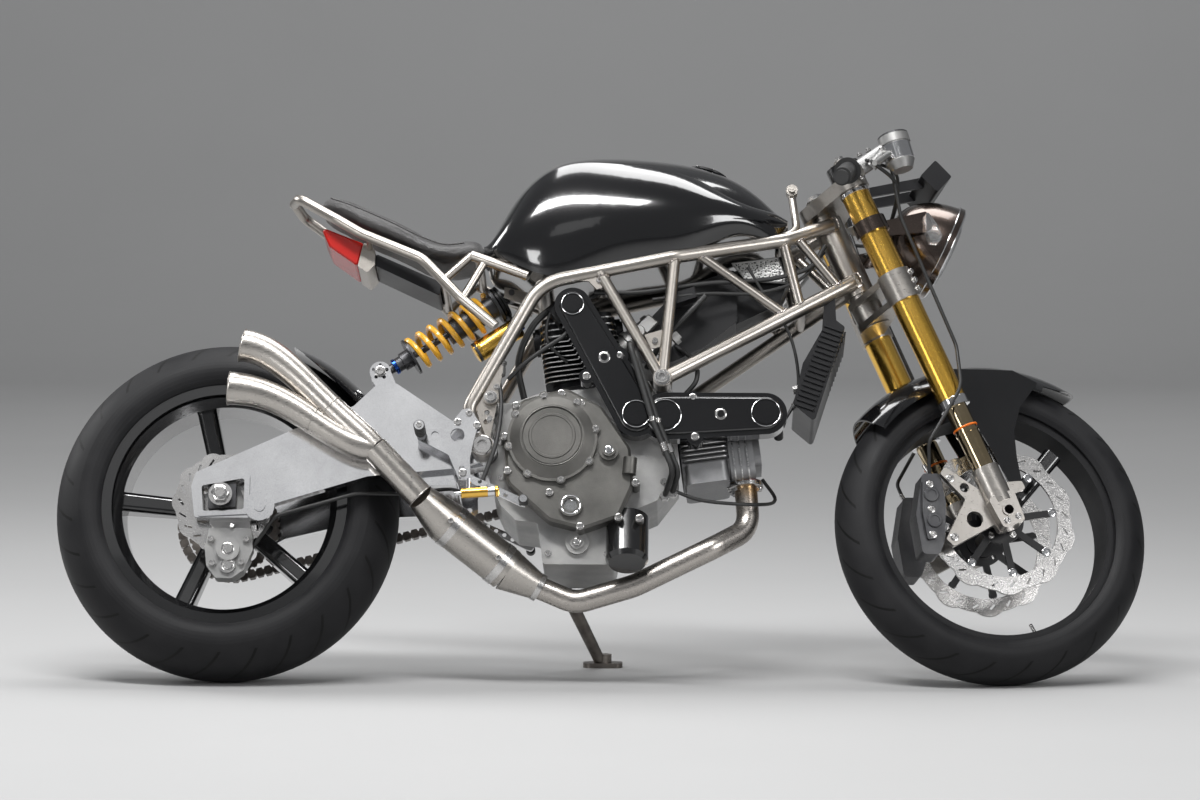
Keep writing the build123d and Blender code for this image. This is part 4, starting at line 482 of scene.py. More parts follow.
class Piece:
    """Simple solids gathered in the frame of a body, and made into one object that rides on it."""

    def __init__(self, name, material, body="chassis"):
        self.name = name
        self.material = material
        self.body = body
        self.bm = bmesh.new()

    def rings(self, rings, loop=False):
        """Skins a row of rings of points, closed at its ends or back to its start."""
        rows = [[self.bm.verts.new(p) for p in ring] for ring in rings]
        following = rows[1:] + rows[:1] if loop else rows[1:]
        for first, second in zip(rows, following):
            count = len(first)
            for i in range(count):
                j = (i + 1) % count
                self.bm.faces.new((first[i], first[j], second[j], second[i]))
        if not loop:
            self.bm.faces.new(list(reversed(rows[0])))
            self.bm.faces.new(rows[-1])

    def lathe(self, start, axis, profile, segments=20):
        """Turns rows of (distance along the axis, radius) about an axis."""
        start, axis = Vector(start), Vector(axis).normalized()
        side, up = square_to(axis)
        self.rings([circle(start + axis * along, side, up, radius, segments) for along, radius in profile])

    def rod(self, start, end, radius, edge=0.6, segments=20):
        """A bar with chamfered ends."""
        start, end = Vector(start), Vector(end)
        length = (end - start).length
        edge = min(edge, radius * 0.4, length * 0.4)
        profile = [(0, radius - edge), (edge, radius), (length - edge, radius), (length, radius - edge)]
        self.lathe(start, end - start, profile, segments)

    def bolt(self, at, out, radius=5, height=5, washer=True):
        """A socket-head screw with its head proud of a face."""
        profile = []
        if washer:
            profile += [(-0.5, radius * 1.35), (1.0, radius * 1.35), (1.2, radius * 1.3)]
        profile += [
            (1.2, radius), (height - 0.7, radius), (height, radius - 0.7),
            (height, radius * 0.52), (height * 0.4, radius * 0.48), (height * 0.4, 0.1),
        ]
        self.lathe(at, out, profile, 18)

    def hexagon(self, at, out, radius=8, height=6):
        """A hexagon nut on a washer."""
        self.lathe(at, out, [(-0.5, radius * 1.3), (1.2, radius * 1.3)], 24)
        nut = [
            (1.2, radius), (height - 0.8, radius), (height, radius - 1.2),
            (height, radius * 0.5), (height - 2, radius * 0.45),
        ]
        self.lathe(at, out, nut, 6)

    def tube(self, points, radius, steps=8, segments=10, ripple=0.0):
        """A round bar along a smooth curve. A ripple thickens every second ring by a share."""
        path = smooth_path(points, steps)
        directions = [(b - a).normalized() for a, b in zip(path, path[1:])]
        directions.append(directions[-1])
        side, _ = square_to(directions[0])
        rings = []
        for index, (point, direction) in enumerate(zip(path, directions)):
            side = (side - direction * side.dot(direction)).normalized()
            size = radius * (1 + ripple * (index % 2))
            rings.append(circle(point, side, direction.cross(side), size, segments))
        self.rings(rings)

    def hoop(self, path, radius, segments=8, ripple=0.0):
        """A round bead along a closed loop of points, with ripples three points long."""
        count = len(path)
        side, _ = square_to((path[1] - path[-1]).normalized())
        rings = []
        for index, point in enumerate(path):
            direction = (path[(index + 1) % count] - path[index - 1]).normalized()
            side = (side - direction * side.dot(direction)).normalized()
            size = radius * (1 + ripple * sin(index * pi / 1.5))
            rings.append(circle(point, side, direction.cross(side), size, segments))
        self.rings(rings, loop=True)

    def ring(self, centre, axis, radius, thick, count=48, segments=8):
        """A round bead along a circle about an axis."""
        side, up = square_to(Vector(axis))
        self.hoop(circle(Vector(centre), side, up, radius, count), thick, segments)

    def block(self, outline, low, high, edge=1.0):
        """A plate from an outline in the side view (x, z), between two widths, with chamfered edges."""
        corners = [Vector((x, 0, z)) for x, z in outline]
        middle = sum(corners, Vector()) / len(corners)
        edge = min(edge, (high - low) * 0.4)
        rings = []
        for y, trim in ((low, edge), (low + edge, 0), (high - edge, 0), (high, edge)):
            trimmed = [corner + (middle - corner).normalized() * trim for corner in corners]
            rings.append([(corner.x, y, corner.z) for corner in trimmed])
        self.rings(rings)

    def done(self):
        """Makes the object, in metres."""
        bmesh.ops.recalc_face_normals(self.bm, faces=self.bm.faces)
        self.bm.transform(Matrix.Scale(MILLIMETRE, 4) @ FRAMES[self.body])
        mesh = bpy.data.meshes.new(self.name)
        self.bm.to_mesh(mesh)
        self.bm.free()
        mesh.shade_smooth()
        mesh.set_sharp_from_angle(angle=radians(38))
        piece = added(self.name, mesh)
        mesh.materials.append(self.material)
        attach(piece, self.body)


def saddle(end, out, radius, along, carrier, origin=None):
    """The loop where a tube meets its carrier, whose axis passes through the tube's end or an origin."""
    out, along = out.normalized(), along.normalized()
    side, up = square_to(out)
    origin = end if origin is None else origin
    loop = []
    for start in circle(end, side, up, radius, 48):
        base = start - origin
        base -= along * base.dot(along)
        run = out - along * out.dot(along)
        a, b, c = run.dot(run), 2 * base.dot(run), base.dot(base) - carrier**2
        root = max(b * b - 4 * a * c, 0) ** 0.5
        loop.append(start + out * ((-b + root) / (2 * a)))
    return loop


# Seat: the foam pad is blown up a little from the solid's own shape, then sewn

PAD_SHRINK = 0.985  # the pad starts smaller, because it swells
PAD_VOXEL = 0.005
PAD_PRESSURE = 4
PAD_FRAMES = 20
PAD_TRAVEL = 0.005  # how far a point may move, in metres


def apply_modifiers(thing):
    graph = bpy.context.evaluated_depsgraph_get()
    mesh = bpy.data.meshes.new_from_object(thing.evaluated_get(graph))
    thing.modifiers.clear()
    thing.data = mesh


def swell(pad):
    """Blows the pad up as cloth under pressure, no further than its travel."""
    scene = bpy.context.scene
    rest = [v.co.copy() for v in pad.data.vertices]
    cloth = pad.modifiers.new("cloth", "CLOTH")
    cloth.settings.use_pressure = True
    cloth.settings.uniform_pressure_force = PAD_PRESSURE
    cloth.settings.effector_weights.gravity = 0
    cloth.settings.quality = 5
    for number in range(1, PAD_FRAMES + 1):
        scene.frame_set(number)
    apply_modifiers(pad)
    for vertex, start in zip(pad.data.vertices, rest):
        move = vertex.co - start
        if move.length > PAD_TRAVEL:
            vertex.co = start + move.normalized() * PAD_TRAVEL
    scene.frame_set(1)


def padded_seat():
    mesh = NODES["seat"].data.copy()
    seat = added("seat_pad", mesh)
    middle = sum((v.co for v in mesh.vertices), Vector()) / len(mesh.vertices)
    for vertex in mesh.vertices:
        vertex.co = middle + (vertex.co - middle) * PAD_SHRINK
    bpy.context.view_layer.objects.active = seat
    remesh = seat.modifiers.new("remesh", "REMESH")
    remesh.mode = "VOXEL"
    remesh.voxel_size = PAD_VOXEL
    apply_modifiers(seat)
    swell(seat)
    smooth = seat.modifiers.new("smooth", "SUBSURF")
    smooth.levels = 1
    smooth.render_levels = 1
    apply_modifiers(seat)
    seat.data.shade_smooth()
    seat.data.materials.clear()
    seat.data.materials.append(LEATHER)
    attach(seat, "chassis")
    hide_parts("seat")


def seat_seams():
    """A sewn edge along each side of the pad."""
    # x, distance from the middle, z
    seam = ((182, 59, 933), (227, 69, 914), (296, 75, 882), (347, 77, 856), (400, 81, 835), (440, 75, 839))
    seams = Piece("seat_seams", LEATHER)
    for side in (-1, 1):
        seams.tube([(x, side * y, z) for x, y, z in seam], 1.5, 10, 6, 0.25)
    seams.done()


# Engine: the cylinders stand square to each other, both turned back from upright and level by one angle

CRANK = Vector((695, 0, 415))
CYLINDER_LEAN = radians(8)
REAR_AXIS = Vector((-sin(CYLINDER_LEAN), 0, cos(CYLINDER_LEAN)))
FRONT_AXIS = Vector((cos(CYLINDER_LEAN), 0, sin(CYLINDER_LEAN)))
BARREL_FIN_STEP = 9.5
HEAD_FINS, HEAD_FIN_STEP, HEAD_FIN_THICK = 3, 13, 2.6

CLUTCH = Vector((616, 0, 437))
SIGHT_GLASS = Vector((652, 0, 308))
FLAT_CAP = [(-0.5, 11), (0.8, 11), (1.4, 10), (1.4, 7), (-0.4, 6.6), (-0.4, 0.1)]


def rounded_loop(origin, first, second, half_first, half_second, corner):
    """A rounded rectangle about a point, in the plane of two directions."""
    loop = []
    for quarter, (sign_a, sign_b) in enumerate(((1, 1), (-1, 1), (-1, -1), (1, -1))):
        for step in range(6):
            angle = radians(90 * quarter + 18 * step)
            a = sign_a * (half_first - corner) + corner * cos(angle)
            b = sign_b * (half_second - corner) + corner * sin(angle)
            loop.append(origin + first * a + second * b)
    return loop


def fin_edges():
    """Bright machined edges on the fins of the barrels and heads."""
    # name, first barrel fin, how many, half sizes and corner, bead, then the head's axis and
    # the direction across it, its first fin's distance from the crank, half sizes and corner
    cylinders = (
        ("fin_edges_rear", CRANK + REAR_AXIS * 159.5, 9, (78, 74, 16), 1.3,
         REAR_AXIS, FRONT_AXIS, 246, (79, 72, 22)),
        ("fin_edges_front", CRANK + FRONT_AXIS * 205 - REAR_AXIS * 26.5, 10, (79, 43, 10), 1.2,
         FRONT_AXIS, REAR_AXIS, 256, (78, 71, 22)),
    )
    for name, first, count, sizes, bead, axis, beside, head, head_sizes in cylinders:
        edges = Piece(name, MILLED)
        for fin in range(count):
            level = first + REAR_AXIS * (fin * BARREL_FIN_STEP)
            edges.hoop(rounded_loop(level, LEFT, FRONT_AXIS, *sizes), bead, 6)
        for fin in range(HEAD_FINS):
            level = CRANK + axis * (head + fin * HEAD_FIN_STEP)
            faces = (level, level + axis * HEAD_FIN_THICK)
            edges.rings([rounded_loop(face, LEFT, beside, *head_sizes) for face in faces])
        edges.done()


def engine_screws():
    screws = Piece("engine_screws", STEEL)
    right_cover = (
        (548, 500), (632, 524), (668, 505), (686, 440), (527, 440), (533, 374), (612, 333),
        (772, 352), (741, 286), (670, 268), (780, 284),
    )
    clutch = [(CLUTCH.x + x, CLUTCH.z + z) for x, z, _ in spread_round(82, 8, 12, 0)]
    belts = ((740, 600), (678, 560), (882, 444), (878, 520))
    crankcase = ((828, 420), (824, 366), (610, 226), (720, 226), (520, 372), (516, 440))
    left_cover = ((690, 480), (690, 350), (748, 447), (632, 383), (748, 383), (632, 447))
    # y of the face, the way out of it, radius of the heads, x and z of each
    for y, out, radius, places in (
        (-143, RIGHT, 5.2, right_cover), (-148, RIGHT, 5, clutch), (-135, RIGHT, 5.6, belts),
        (-98, RIGHT, 5, crankcase), (144, LEFT, 5, left_cover),
    ):
        for x, z in places:
            screws.bolt((x, y, z), out, radius, 5)
    for x, z in ((711, 596), (930, 487)):
        screws.lathe((x, -138, z), RIGHT, FLAT_CAP, 24)
    screws.hexagon((664, -111, 246), RIGHT, 8, 7)
    screws.done()


def cover_trim():
    """The clutch cover's face, the sight glass and the belt covers' bright rings."""
    face = Piece("clutch_ring", MAGNESIUM)
    face.ring(CLUTCH + RIGHT * 160.5, RIGHT, 57, 1.3, 64)
    dish = [(0, 44), (1.8, 43), (1.8, 39), (0.6, 38.4), (0.6, 0.1)]
    face.lathe(CLUTCH + RIGHT * 160, RIGHT, dish, 64)
    face.done()
    eye = Piece("sight_glass", CLEAR)
    eye.lathe(SIGHT_GLASS + RIGHT * 141, RIGHT, [(0, 12.6), (3, 12.6), (4.4, 9), (4.6, 0.2)], 32)
    eye.done()
    rims = Piece("bright_rings", POLISHED)
    rims.ring(SIGHT_GLASS + RIGHT * 148, RIGHT, 17.5, 1.6, 40)
    for x, z, pulley in ((772, 486, 27), (650, 700, 22), (826, 484, 31), (1014, 490, 28)):
        rims.ring((x, -141.2, z), RIGHT, pulley - 1.2, 0.8, 56)
    shaft_cap = [(0, 8), (1.5, 8), (2.5, 6), (2.5, 3.5), (1, 3.2), (1, 0.1)]
    rims.lathe((722, -156, 412), RIGHT, shaft_cap, 20)
    rims.done()


def throttle_bodies():
    """Throttle bodies with their rubber stubs, between the cylinders and under the tank."""
    bodies = Piece("throttle_bodies", CAST)
    for start, end in (((742, -28, 640), (806, -28, 690)), ((796, -40, 618), (846, -40, 668))):
        a, b = Vector(start), Vector(end)
        run = (b - a).length
        profile = [
            (0, 25), (14, 25), (15, 29), (24, 29), (25, 26), (run - 18, 26),
            (run - 16, 30), (run - 6, 30), (run - 5, 26), (run, 26),
        ]
        bodies.lathe(a, b - a, profile, 32)
        middle = a.lerp(b, 0.5)
        bodies.rod(middle + RIGHT * 26, middle + RIGHT * 52, 13, 2)
    bodies.block([(770, 676), (792, 700), (812, 684), (790, 660)], -78, -60, 3)
    bodies.done()


def leads():
    """Wires, plug leads and breather hoses, and what they plug into."""
    wires = Piece("wires_and_hoses", RUBBER)
    # points of the route, radius
    for points, radius in (
        ([(648, -66, 735), (610, -96, 700), (602, -100, 640), (640, -84, 600)], 3.2),
        ([(1040, -52, 480), (1076, -40, 560), (1062, -58, 660), (1010, -80, 740), (980, -90, 790)], 3.2),
        ([(1128, -34, 850), (1096, -52, 800), (1020, -76, 770), (900, -104, 752), (780, -118, 730),
          (690, -120, 728)], 4.6),
        ([(1126, -30, 838), (1080, -56, 776), (1000, -84, 740), (900, -110, 730), (800, -116, 716)], 3.4),
        ([(700, -104, 734), (660, -112, 700), (640, -118, 650), (600, -116, 620), (560, -112, 590),
          (530, -106, 560)], 4.4),
        ([(560, -60, 530), (548, -84, 600), (574, -96, 668), (620, -88, 716)], 6.5),
        ([(790, -52, 600), (820, -96, 640), (868, -112, 690), (900, -110, 726)], 5.5),
        ([(846, -60, 640), (880, -100, 600), (884, -112, 560), (860, -104, 530)], 4.5),
        ([(1010, 20, 402), (1034, 10, 360), (1000, -70, 330), (900, -96, 330), (840, -96, 350)], 3.4),
    ):
        wires.tube(points, radius)
    wires.done()
    coils = Piece("coil_and_plugs", BLACK_SATIN)
    coils.block([(600, 700), (640, 730), (664, 700), (624, 668)], -102, -64, 3)
    coils.rod((1040, -30, 470), (1038, -62, 486), 9, 2)
    coils.rod((648, -50, 742), (648, -72, 734), 9, 2)
    coils.block([(820, 724), (880, 744), (886, 722), (828, 702)], -116, -84, 3)
    coils.done()


def oil_unions():
    """Unions and clamps on the engine's two oil lines."""
    unions = Piece("oil_unions", STEEL)
    # y of the line, x of its bend, x and z of its union
    for y, bend, x, z in ((-149, 812, 841, 344), (-161, 802, 826, 338)):
        unions.lathe((x, -92, z), RIGHT, [(0, 10), (9, 10), (10, 9)], 6)
        unions.rod((bend, y, 465), (bend, y, 475), 6.6, 1)
        unions.rod((bend + 20, y, 424), (bend + 26, y, 408), 7.4, 1)
    unions.done()


def cooler():
    """Slats and bars over the oil cooler, between the frame and the fork."""
    slats = Piece("cooler_slats", BLACK_SATIN)
    top, bottom = Vector((1150, 0, 683)), Vector((1086, 0, 503))
    down = (bottom - top).normalized()
    ahead = Vector((-down.z, 0, down.x))
    for row in range(17):
        at = top + down * (14 + row * 10.2)
        rear, front = at - ahead * 22, at + ahead * 16
        corners = (rear, front, front + down * 4.4, rear + down * 4.4)
        for side in (-1, 1):
            low, high = sorted((side * 91, side * 93.4))
            slats.block([(corner.x, corner.z) for corner in corners], low, high, 0.6)
        bar = at + ahead * 20
        slats.rod(bar + RIGHT * 84, bar + LEFT * 84, 1.6, 0.3, 8)
    slats.done()
    unions = Piece("cooler_unions", STEEL)
    for y in (-60, 60):
        unions.lathe((1090, y, 560), (-1, 0, -0.2), [(0, 10), (14, 10), (15, 8), (24, 8)], 6)
    unions.done()


def intake_mesh():
    """A fine wire mesh over the intake, in a thin frame."""
    outline = [(950, 806), (1038, 818), (1058, 768), (976, 772)]
    mesh = Piece("intake_mesh", MESH)
    mesh.block(outline, -56, -52, 0.5)
    mesh.done()
    edge = Piece("intake_mesh_frame", CAST)
    edge.hoop([Vector((x, -56.5, z)) for x, z in outline], 2.2, 6)
    edge.done()


# Tank and frame: the filler cap, weld beads where tubes meet, and the bolts that hold the engine

FILLER_X = 905
FRAME_HALF = 138  # from the middle of the machine to a side's lower node
RAIL_RADIUS, LOWER_RADIUS, BOSS_RADIUS, HEAD_RADIUS = 13.5, 14, 17, 29
FRAME_BOLT = [
    (-3, 8.6), (1, 8.6), (1, 15), (3, 15), (3.2, 11.5), (10, 11.5), (11, 10.5), (11, 6.2), (6, 6), (6, 0.1),
]
PIVOT_CAP = [
    (-3, 10.6), (1.5, 10.6), (1.5, 19), (3.5, 19), (4.5, 17.5), (7, 17), (8, 16), (8, 9.4), (1, 9), (1, 0.1),
]
PLATE_BOLT = [(-1, 12), (1.4, 12), (1.6, 9), (8, 9), (9, 8), (9, 4.6), (5, 4.4), (5, 0.1)]
FILLER_CAP = [
    (0, 38), (3.4, 38), (4.4, 36.6), (4.4, 30), (3.6, 29.4), (3.6, 28), (4.8, 27.4), (5.2, 25), (5.2, 0.1),
]


def filler_cap():
    """A flush filler cap with a ring of screws, laid on the tank's top where a ray meets it."""
    above, below = (PARKED @ Vector((FILLER_X, 0, z)) for z in (1100, 900))
    _, place, normal, _ = NODES["tank"].ray_cast(above * MILLIMETRE, (below - above).normalized())
    back = PARKED.inverted()
    at = back @ (place / MILLIMETRE)
    out = (back.to_3x3() @ normal).normalized()
    cap = Piece("filler_cap", BLACK_SATIN)
    cap.lathe(at - out * 3, out, FILLER_CAP, 72)
    cap.done()
    side, up = square_to(out)
    screws = Piece("filler_cap_screws", STEEL)
    for x, y, _ in spread_round(33, 6, 15, 0):
        screws.bolt(at + out * 1.6 + side * x + up * y, out, 2.4, 2.2, False)
    screws.done()


def weld_beads():
    beads = Piece("weld_beads", WELD)
    rail = Vector((842 - 590, 0, 797 - 741)).normalized()
    low_node, low_head = Vector((820, -FRAME_HALF, 553)), Vector((1182, -26, 779))
    bend, front, top_head = Vector((842, -130, 797)), Vector((1049, -75, 847)), Vector((1139, -26, 893))
    front_rail = (front - bend).normalized()
    last_rail = (top_head - front).normalized()
    lower = (low_head - low_node).normalized()
    # upper end, the rail's direction there, lower end, its carrier's direction and radius, own radius
    braces = (
        (Vector((701, -FRAME_HALF, 762)), rail, low_node, LEFT, BOSS_RADIUS, 11),
        (bend, front_rail, low_node, LEFT, BOSS_RADIUS, 11),
        (bend.lerp(front, 0.2), front_rail, low_node.lerp(low_head, 0.65), lower, LOWER_RADIUS, 9.5),
        (bend.lerp(front, 0.99), front_rail, low_node.lerp(low_head, 0.72), lower, LOWER_RADIUS, 10.5),
        (front.lerp(top_head, 0.25), last_rail, low_node.lerp(low_head, 0.93), lower, LOWER_RADIUS, 9.5),
    )
    head = Vector((-sin(radians(RAKE)), 0, cos(radians(RAKE))))
    foot = Vector((AXIS_FOOT, 0, 0))
    for side in (1, -1):
        flip = Matrix.Diagonal((1, side, 1))
        loops = []
        for top, top_axis, bottom, bottom_axis, carrier, radius in braces:
            a, b = flip @ top, flip @ bottom
            loops.append((saddle(a, b - a, radius, flip @ top_axis, RAIL_RADIUS), 1.9))
            loops.append((saddle(b, a - b, radius, flip @ bottom_axis, carrier), 1.9))
        rear, run = flip @ low_node, flip @ (low_head - low_node)
        loops.append((saddle(rear, run, LOWER_RADIUS, LEFT, BOSS_RADIUS), 2))
        for end, before, radius in ((top_head, front, RAIL_RADIUS), (low_head, low_node, LOWER_RADIUS)):
            loops.append((saddle(flip @ end, flip @ (before - end), radius, head, HEAD_RADIUS, foot), 2))
        for loop, bead in loops:
            beads.hoop(loop, bead, 6, 0.28)
    beads.done()


def frame_bolts():
    bolts = Piece("frame_bolts", STEEL)
    for side in (-1, 1):
        out = LEFT * side
        bolts.lathe((820, side * 152, 553), out, FRAME_BOLT, 24)
        bolts.lathe((486, side * 151, 420), out, PIVOT_CAP, 40)
        bolts.lathe((500, side * 150, 514), out, PLATE_BOLT, 24)
        for x, z in ((498, 474), (510, 536), (806, 628), (650, 748), (700, 746)):
            bolts.bolt((x, side * 141.5, z), out, 4.6, 5)
    bolts.done()


# Rear end: exhaust, shock, axle and foot controls


def exhaust_fittings():
    bands = Piece("exhaust_bands", STEEL)
    front, rear = Vector((532, -62, 204)), Vector((416, -104, 286))
    axis = (rear - front).normalized()
    for share in (0.12, 0.88):
        at = front.lerp(rear, share)
        bands.lathe(at - axis * 8, axis, [(0, 41), (0.6, 42.8), (15.4, 42.8), (16, 41)], 56)
        bands.bolt(at + RIGHT * 42, RIGHT, 5, 8, False)
    joint = Vector((592, -46, 173))
    axis = (front - joint).normalized()
    bands.lathe(joint - axis * 4, axis, [(0, 24), (0.8, 27), (11, 27), (12, 25)], 40)
    bands.lathe((977.6, -9.8, 384), (0.1, -0.05, -1), [(0, 30), (1, 33), (8, 33), (9, 30)], 40)
    for x in (950, 1004):
        bands.hexagon((x, -10, 377), DOWN, 6, 6)
    bands.done()
    rings = Piece("tail_pipe_rings", HOT)
    # centre, axis, radius, thickness, points round the ring and round its bead
    for centre, axis, radius, thick, count, segments in (
        ((34, -169, 606), (-28, -1, 6), 30.4, 1.8, 56, 8),
        ((12, -175, 521), (-28, -1, 2), 30.4, 1.8, 56, 8),
        ((202, -162, 488), (-168, -5, 156), 25.2, 1.1, 48, 6),
        ((170, -166, 462), (-202, -12, 98), 26.2, 1.1, 48, 6),
        ((372, -146, 322), (-86, -14, 88), 26.4, 1.3, 48, 6),
    ):
        rings.ring(centre, axis, radius, thick, count, segments)
    rings.done()


def shock_fittings():
    """The preload nut, the knurled collar and the reservoir's cap."""
    blue = Piece("shock_nut", BLUE)
    gold = Piece("shock_reservoir_cap", GOLD)
    collar = Piece("shock_knurl", BLACK_SATIN)
    lower, upper = Vector((283, 0, 597)), Vector((530, 0, 757))
    axis = (upper - lower).normalized()
    blue.lathe(lower + axis * 28, axis, [(0, 12), (1, 15.5), (7, 15.5), (8, 14)], 28)
    knurl = [(0, 30), (1, 33), (5, 33), (6, 30), (7, 30), (8, 33), (12, 33), (13, 30)]
    collar.lathe(lower + axis * 262, axis, knurl, 44)
    below = Vector((0.544, 0, -0.839)) * 60
    sleeve = [
        (0, 15), (2, 19), (14, 20.8), (16, 20.8), (18, 20.3), (84, 20.6), (86, 21), (96, 21), (101, 18),
    ]
    gold.lathe(lower + axis * 173 + below, axis, sleeve, 40)
    blue.lathe(lower + axis * 274 + below, axis, [(0, 9), (6, 9), (7, 7.5)], 20)
    blue.done()
    gold.done()
    collar.done()


def rear_nuts():
    """The axle's nuts, the caliper's screws and those of the foot controls."""
    nuts = Piece("axle_nuts", STEEL)
    for x, z in ((48, 246), (-18, 246), (40, 202), (-14, 200)):
        nuts.bolt((x, -117, z), RIGHT, 5, 4, False)
    piston_cap = [(-0.5, 12), (0.8, 12), (1.4, 11), (1.4, 8), (0.4, 7.6), (0.4, 0.1)]
    for y, z in ((-122, 226), (-118, 196)):
        nuts.lathe((14, y, z), RIGHT, piston_cap, 32)
    nuts.rod((20, -100, 268), (20, -118, 272), 4.6, 1)
    for side in (-1, 1):
        nuts.hexagon((0, side * 150, REAR_AXLE_HEIGHT), LEFT * side, 17, 12)
        # x, distance from the middle, z, head radius, height, whether it has a washer
        for x, y, z, radius, height, washer in (
            (440, 164, 461, 5.4, 6, True), (476, 164, 455, 5.4, 6, True), (461, 164, 478, 5, 6, True),
            (452, 176, 360, 6, 5, True), (372, 232, 437, 5, 4, False), (283, 29, 597, 8, 6, True),
        ):
            nuts.bolt((x, side * y, z), LEFT * side, radius, height, washer)
    nuts.done()


def foot_controls():
    pegs = Piece("peg_rubbers", RUBBER)
    for side in (-1, 1):
        out = LEFT * side
        for rib in range(5):
            y = side * (178 + rib * 11)
            pegs.lathe((372, y, 437), out, [(0, 8.5), (1, 10.6), (7, 10.6), (8, 8.5)], 20)
        pegs.lathe((566, side * 186, 304), out, [(0, 7), (1, 9), (19, 9), (20, 7.5)], 20)
    pegs.done()
    master = Piece("rear_master_cylinder", GOLD)
    master.rod((449, -172, 322), (500, -172, 325.6), 9.8, 1.5)
    master.lathe((512, -172, 326), (1, 0, 0.07), [(0, 8), (2, 11), (6, 11), (8, 8)], 24)
    master.done()
    cup = Piece("rear_reservoir", CAST)
    cup.lathe((512, -128, 560), UP, [(0, 12), (2, 14), (22, 14), (23, 16), (28, 16), (29, 14)], 28)
    cup.done()
    hose = Piece("reservoir_hose", RUBBER)
    hose.tube([(512, -128, 561), (520, -150, 500), (512, -166, 420), (484, -172, 334)], 4.2)
    hose.done()


def rear_wheel_nuts():
    """The sprocket's nuts, the disc's screws and the valve."""
    nuts = Piece("sprocket_nuts", STEEL, "rear_wheel")
    for place in spread_round(40, 6, 30, 115):
        nuts.hexagon(place, UP, 7, 6)
    for place in spread_round(50, 5, 36, -86.5):
        nuts.bolt(place, DOWN, 5, 4)
    nuts.rod((0, 212, 20), (0, 190, 24), 3.4, 1)
    nuts.done()


# Front end: discs, calipers, clamps, lamp and controls

FORK_HALF = 105  # from the middle of the fork to a leg's axis
BOBBIN = [(0, 8.4), (1.2, 8.4), (1.8, 7.6), (1.8, 4.4), (0.8, 4), (0.8, 0.1)]
PISTON_CAP = [(0, 14.5), (3, 14.5), (4.5, 13), (4.5, 9), (3, 8.5), (3, 0.1)]
CUP_LID = [(0, 27), (0.4, 29.4), (3, 29.4), (4.6, 27.5), (4.6, 12), (3.4, 11), (3.4, 0.1)]
PROJECTOR = [(0, 80), (2, 80), (1, 60), (0.4, 34), (2.6, 33), (5, 28), (6.5, 18), (7, 0.2)]


def disc_fittings():
    """Bobbins and screws of the two discs, and the valve."""
    bobbins = Piece("disc_bobbins", POLISHED, "front_wheel")
    screws = Piece("disc_screws", STEEL, "front_wheel")
    for side in (-1, 1):
        out = UP * side
        for place in spread_round(104.5, 8, 12, side * 68):
            bobbins.lathe(place, out, BOBBIN, 24)
        for place in spread_round(36, 5, 72, side * 68.5):
            screws.bolt(place, out, 5, 4)
    screws.rod((0, 212, 10), (0, 190, 14), 3.4, 1)
    bobbins.done()
    screws.done()


def fork_fittings():
    """Bands, rings and screws on the fork's legs, its calipers and the bars."""
    bolts = Piece("fork_bolts", STEEL, "fork")
    bands = Piece("fork_bands", POLISHED, "fork")
    orange = Piece("travel_rings", ORANGE, "fork")
    caps = Piece("caliper_caps", CAST_DARK, "fork")
    for side in (-1, 1):
        out = LEFT * side
        leg = out * FORK_HALF
        bands.lathe(leg + UP * 222, UP, [(0, 24), (1, 29), (17, 29), (18, 27.6), (19, 27.4)], 44)
        bands.lathe(leg + UP * 680, UP, [(0, 27.2), (1, 28.6), (7, 28.6), (8, 27)], 44)
        orange.ring(leg + UP * 180, UP, 22.6, 1.9, 44)
        # Clamps: lower, then upper
        for z in (462, 480, 498):
            bolts.bolt((26, side * 124, z), (0.6, side * 0.8, 0), 5, 6)
        bolts.bolt((14, side * 138, 703), (0.1, side, 0), 5, 6)
        bolts.bolt((-6, side * 139, 724), out, 5, 6)
        bolts.hexagon(leg + UP * 756, UP, 9, 8)
        # On the axle lugs and calipers: x, distance from the middle, z, head radius, height
        for x, y, z, radius, height in (
            (-12, 128, -18, 5, 5), (12, 128, -18, 5, 5), (58, 76.7, 46, 5, 4), (-110, 99, 104, 5.4, 5),
            (-146, 99, 12, 5.4, 5), (-128, 99, 58, 5.4, 5), (-70, 104, 100, 6, 6), (-112, 104, -8, 6, 6),
        ):
            bolts.bolt((x, side * y, z), out, radius, height)
        bolts.rod((-96, side * 84, 126), (-99, side * 84, 146), 4.2, 1)
        for x, z in ((-116, 84), (-132, 36)):
            caps.lathe((x, side * 98.5, z), out, PISTON_CAP, 32)
        # Reservoir with its lid, and the bar's clamp
        tilt = Vector((2.5, 0, 16)).normalized()
        cup = Vector((86.5, side * 166, 696))
        bands.lathe(cup + tilt, tilt, [(0, 27), (1, 28.6), (33, 28.6), (34, 27)], 48)
        caps.lathe(cup + tilt * 52.6, tilt, CUP_LID, 48)
        for x in (-16, 16):
            bolts.bolt(cup + tilt * 57 + Vector((x, 0, -x * 0.15)), tilt, 3.4, 2.5, False)
        bolts.rod((52, side * 192, 708), (52, side * 192, 728), 5.4, 1)
        for x, z in ((40, 740), (20, 737)):
            bolts.bolt((x, side * 158, z), UP, 4.4, 5)
    bolts.hexagon((-35, 0, 728), UP, 16, 9)
    bolts.done()
    bands.done()
    orange.done()
    caps.done()


